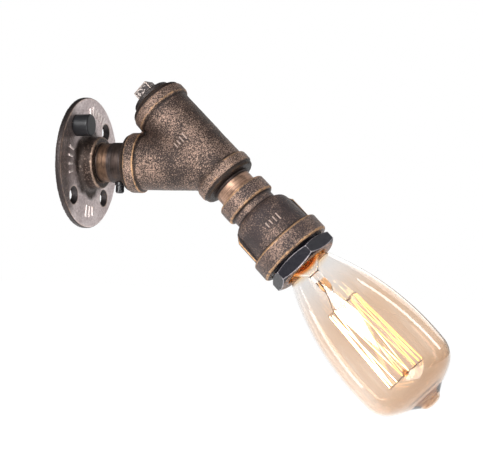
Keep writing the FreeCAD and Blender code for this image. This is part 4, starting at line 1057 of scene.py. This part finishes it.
def repeat_round(name, tree_and_sockets, axis, material, rings):
    """One plain mesh of all the given rings; each ring gives the tree's inputs by name."""
    tree, sockets = tree_and_sockets
    joined = bmesh.new()
    for ring in rings:
        holder = add_object(name + "_holder", bpy.data.meshes.new(name + "_holder"))
        modifier = holder.modifiers.new("Repeat", "NODES")
        modifier.node_group = tree
        for label, value in {**ring, "Material": material}.items():
            modifier[sockets[label]] = value
        joined.from_mesh(baked_mesh(holder, name + "_ring"))
    joined.transform(axis)
    mesh = bpy.data.meshes.new(name)
    joined.to_mesh(mesh)
    joined.free()
    clean(mesh)
    return add_object(name, mesh)


def hook_line(name, reach, lift):
    """The line of one support wire: out from its bead, with a small eye round the filament."""
    spots = (
        (1.6, 0), (reach - 1.1, 0.4 * lift), (reach, 0.75 * lift), (reach + 0.75, 0),
        (reach - 0.33, -0.6 * lift),
    )
    return add_object(name, smooth_curve(name, [[(out * MM, 0, up * MM) for out, up in spots]], 6))


def ring(count, first, step, ring_radius, station, tilt, wire, least, own):
    """The inputs of one ring; angles in degrees, and last the line to repeat or a bar's metres."""
    return {
        "Count": count, "First Angle": radians(first), "Angle Step": radians(step),
        "Ring Radius": ring_radius * MM, "Station": station * MM, "Tilt": radians(tilt),
        "Wire Radius": wire * MM, "Least Length": least, "Own": own,
    }


HOOK_RING = ring_tree("hook_ring", "NodeSocketObject")
far_hook = hook_line("far_hook_line", FAR_CAGE, 1.1)
near_hook = hook_line("near_hook_line", NEAR_CAGE, -1.1)
filament_hooks = repeat_round("filament_support_hooks", HOOK_RING, LAMP_AXIS, steel, [
    ring(HAIRPINS, 0, 360 / HAIRPINS, 0, FAR_STATION, 0, 0.2, 1.0, far_hook),
    ring(HAIRPINS - 1, 180 / HAIRPINS, 360 / HAIRPINS, 0, NEAR_STATION, 0, 0.2, 1.0, near_hook),
])
for line in (far_hook, near_hook):
    bpy.data.objects.remove(line)

# ---- Plain raised cast marks on the flange, the bell and the branch ----

MARK_RING = ring_tree("cast_mark_ring", FLOAT)
flange_marks = repeat_round("flange_cast_marks", MARK_RING, WALL_AXIS, highlit_flange_mark_metal, [
    ring(6, 60, 7, 35.0, 3.7, 0, 1.0, 0.55, 8.0 * MM),
    ring(4, 165, 10, 30.5, 3.7, 0, 0.9, 0.7, 6.4 * MM),
    ring(3, -97, 8, 33.6, 3.6, 0, 1.0, 0.7, 9.0 * MM),
])
bell_marks = repeat_round("bell_cast_marks", MARK_RING, LAMP_AXIS, highlit_mark_bronze, [
    ring(4, 148, 8, 21.4, 60.0, 90, 0.5, 0.6, 5.4 * MM),
])
branch_marks = repeat_round("branch_cast_marks", MARK_RING, LAMP_AXIS, highlit_mark_bronze, [
    ring(4, 174, 9, 18.35, -21.0, 90, 0.5, 0.6, 5.6 * MM),
])


def lead_paths():
    """The two lead wires, each with the kinks of a hand-bent wire, as (radius, station)."""
    ways = (
        (cage_point(-1, False), (
            (3.2, 104.0), (3.9, 111.0), (5.2, 115.0), (9.4, 119.0), (11.3, 124.0), (11.4, 125.6),
        )),
        (cage_point(HAIRPINS - 1, True), (
            (3.2, 104.0), (3.9, 111.0), (7.0, 117.0), (14.6, 125.0), (15.6, 150.0), (15.0, 178.0),
            (13.8, 181.6),
        )),
    )
    paths = []
    for bend, spots in ways:
        way = Vector((bend.x, bend.y, 0)).normalized()
        paths.append([way * radius + Vector((0, 0, station)) for radius, station in spots])
    return paths


lead_wires = round_wire("lead_in_wires", lead_paths(), 0.28, 3)

# ---- Bodies and finishes ----


def dress(piece, material):
    """Give the whole piece one material."""
    piece.data.materials.clear()
    piece.data.materials.append(material)


MADE_PIECES = (
    # piece, node it stands for, body, material, slot
    (wall_flange, None, "wall", flange_metal, "flange_metal"),
    (flange_marks, None, "wall", highlit_flange_mark_metal, "flange_metal"),
    (hole_cover, "hole_cover", "wall", black_cover, "black_rubber"),
    (wall_pipe, "wall_nipple", "wall", wall_pipe_metal, "pipe_metal"),
    (y_branch, None, "head", branch_bronze, "antique_bronze"),
    (crotch_web, None, "head", branch_bronze, "antique_bronze"),
    (square_plug, None, "head", plug_bronze, "plug_metal"),
    (lamp_pipe, "lamp_nipple", "head", lamp_pipe_metal, "pipe_metal"),
    (bell_reducer, None, "head", bell_bronze, "antique_bronze"),
    (bell_marks, None, "head", highlit_mark_bronze, "antique_bronze"),
    (branch_marks, None, "head", highlit_mark_bronze, "antique_bronze"),
    (hex_bushing, None, "head", hex_metal, "bushing_metal"),
    (screw_shell, "screw_shell", "head", brass, "brass"),
    (lock_screw, None, "lock", black_gloss, "black_metal"),
    (bulb_cap, "bulb_cap", "bulb", brass, "brass"),
    (bulb_glass, "bulb_glass", "bulb", bulb_amber, "amber_glass"),
    (glass_stem, "glass_stem", "bulb", stem_clear, "clear_glass"),
    (lead_wires, "lead_wires", "bulb", steel, "steel"),
    (filament_hooks, "filament_hooks", "bulb", steel, "steel"),
    (filament, "filament", "bulb", filament_hot, "filament_glow"),
)
for piece, node, body, material, slot in MADE_PIECES:
    if node:
        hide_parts(node)
    dress(piece, material)
    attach(piece, body)

for node, material in (
    ("swivel_sleeve", sleeve_metal),
    ("lampholder", glow_painted_porcelain),
    ("contact_tongue", brass),
    ("centre_terminal", brass),
    ("shell_terminal", brass),
    ("live_wire", brown_wire),
    ("neutral_wire", blue_wire),
    ("cap_insulator", black_glass),
    ("cap_contact", solder),
):
    dress(cad_nodes[node], material)

# ---- Camera, light and stage ----

PICTURE_WIDTH, PICTURE_HEIGHT = 483, 450
SENSOR_WIDTH = 36.0


def make_camera():
    """The photograph's viewpoint, from fitting the model's circles to it."""
    azimuth, elevation, roll = (radians(angle) for angle in (288.68, -4.31, 1.61))
    distance, focal_pixels = 0.6502, 983.45
    target = Vector((0, -0.093, 0))
    centre_pixel = (213.0, 163.16)
    back = Vector((
        sin(azimuth) * cos(elevation),
        -cos(azimuth) * cos(elevation),
        sin(elevation),
    ))
    level = Vector((cos(azimuth), sin(azimuth), 0))
    upright = back.cross(level)
    if upright.z < 0:
        upright = -upright
    right = cos(roll) * level + sin(roll) * upright
    up = -sin(roll) * level + cos(roll) * upright
    data = bpy.data.cameras.new("photo_camera")
    data.sensor_width = SENSOR_WIDTH
    data.lens = focal_pixels * SENSOR_WIDTH / PICTURE_WIDTH
    data.shift_x = (PICTURE_WIDTH / 2 - centre_pixel[0]) / PICTURE_WIDTH
    data.shift_y = -(PICTURE_HEIGHT / 2 - centre_pixel[1]) / PICTURE_WIDTH
    data.clip_start, data.clip_end = 0.01, 20
    camera = add_object("photo_camera", data)
    spot = target + back * distance
    camera.matrix_world = Matrix.Translation(spot) @ Matrix((right, up, back)).transposed().to_4x4()
    bpy.context.scene.camera = camera


def add_area_light(name, spot, aim, width, height, power):
    """A soft rectangular lamp aimed at a point, in metres and watts."""
    data = bpy.data.lights.new(name, "AREA")
    data.shape = "RECTANGLE"
    data.size, data.size_y = width, height
    data.energy = power
    lamp = add_object(name, data)
    lamp.location = spot
    lamp.visible_camera = False
    lamp.rotation_mode = "QUATERNION"
    lamp.rotation_quaternion = (Vector(aim) - Vector(spot)).to_track_quat("-Z", "Y")


def make_world():
    """White where the camera or the glass looks, graded in reflections, a soft grey fill elsewhere."""
    world = bpy.data.worlds.new("white_studio")
    bpy.context.scene.world = world
    net = emptied(world)
    path = net.node("ShaderNodeLightPath").outputs
    parts = net.parts(net.node("ShaderNodeTexCoord").outputs["Generated"])
    # reflections: bright from the side that the photograph is taken from, grey from beyond
    side = net.plus(net.times(parts[0], -1.0), net.times(parts[2], -0.25))
    side = net.plus(side, net.times(parts[1], 0.2))
    mirror = net.span(side, -0.7, 0.9, 0.05, 0.64)
    clear_view = net.most(path["Is Camera Ray"], path["Is Transmission Ray"])
    fill, white = 0.24, 1.0
    strength = net.out("ShaderNodeMix", {0: path["Is Glossy Ray"], 2: fill, 3: mirror}, data_type="FLOAT")
    strength = net.out("ShaderNodeMix", {0: clear_view, 2: strength, 3: white}, data_type="FLOAT")
    background = net.out("ShaderNodeBackground", {"Color": (1, 1, 1, 1), "Strength": strength})
    net.node("ShaderNodeOutputWorld", {"Surface": background})


def make_floor():
    """A pale floor well below the light, white where the camera or a reflection sees it."""
    mesh = bpy.data.meshes.new("studio_floor")
    reach, level = 6.0, -0.42
    corners = ((-reach, -reach), (reach, -reach), (reach, reach), (-reach, reach))
    mesh.from_pydata([(*corner, level) for corner in corners], [], [(0, 1, 2, 3)])
    floor = add_object("studio_floor", mesh)
    material = bpy.data.materials.new("pale_floor")
    net = emptied(material)
    path = net.node("ShaderNodeLightPath").outputs
    seen = net.most(path["Is Camera Ray"], path["Is Glossy Ray"])
    seen = net.most(seen, path["Is Transmission Ray"])
    diffuse = net.out("ShaderNodeBsdfDiffuse", {"Color": (0.85, 0.85, 0.85, 1)})
    glow = net.out("ShaderNodeEmission", {"Color": (1, 1, 1, 1), "Strength": 0.80})
    both = net.out("ShaderNodeAddShader", {0: diffuse, 1: glow})
    chosen = net.out("ShaderNodeMixShader", {0: seen, 1: diffuse, 2: both})
    net.node("ShaderNodeOutputMaterial", {"Surface": chosen})
    floor.data.materials.append(material)


make_camera()
make_world()
make_floor()
AIM = (0, -0.12, -0.02)
BULB_AIM = (0, -0.19, -0.10)
# name, place, aim, width, height, power
add_area_light("key_softbox", (-0.80, 0.05, 0.25), AIM, 0.5, 0.5, 11.0)
add_area_light("front_softbox", (-0.50, -0.65, -0.20), AIM, 0.5, 0.4, 3.0)
add_area_light("back_softbox", (0.75, -0.30, 0.35), AIM, 0.6, 0.6, 1.2)
add_area_light("upper_strip", (0.28, -0.67, 0.46), BULB_AIM, 0.10, 0.75, 1.5)
add_area_light("lower_strip", (0.0, 0.13, -0.37), BULB_AIM, 0.07, 0.40, 0.35)

bpy.context.scene.view_settings.view_transform = "Standard"
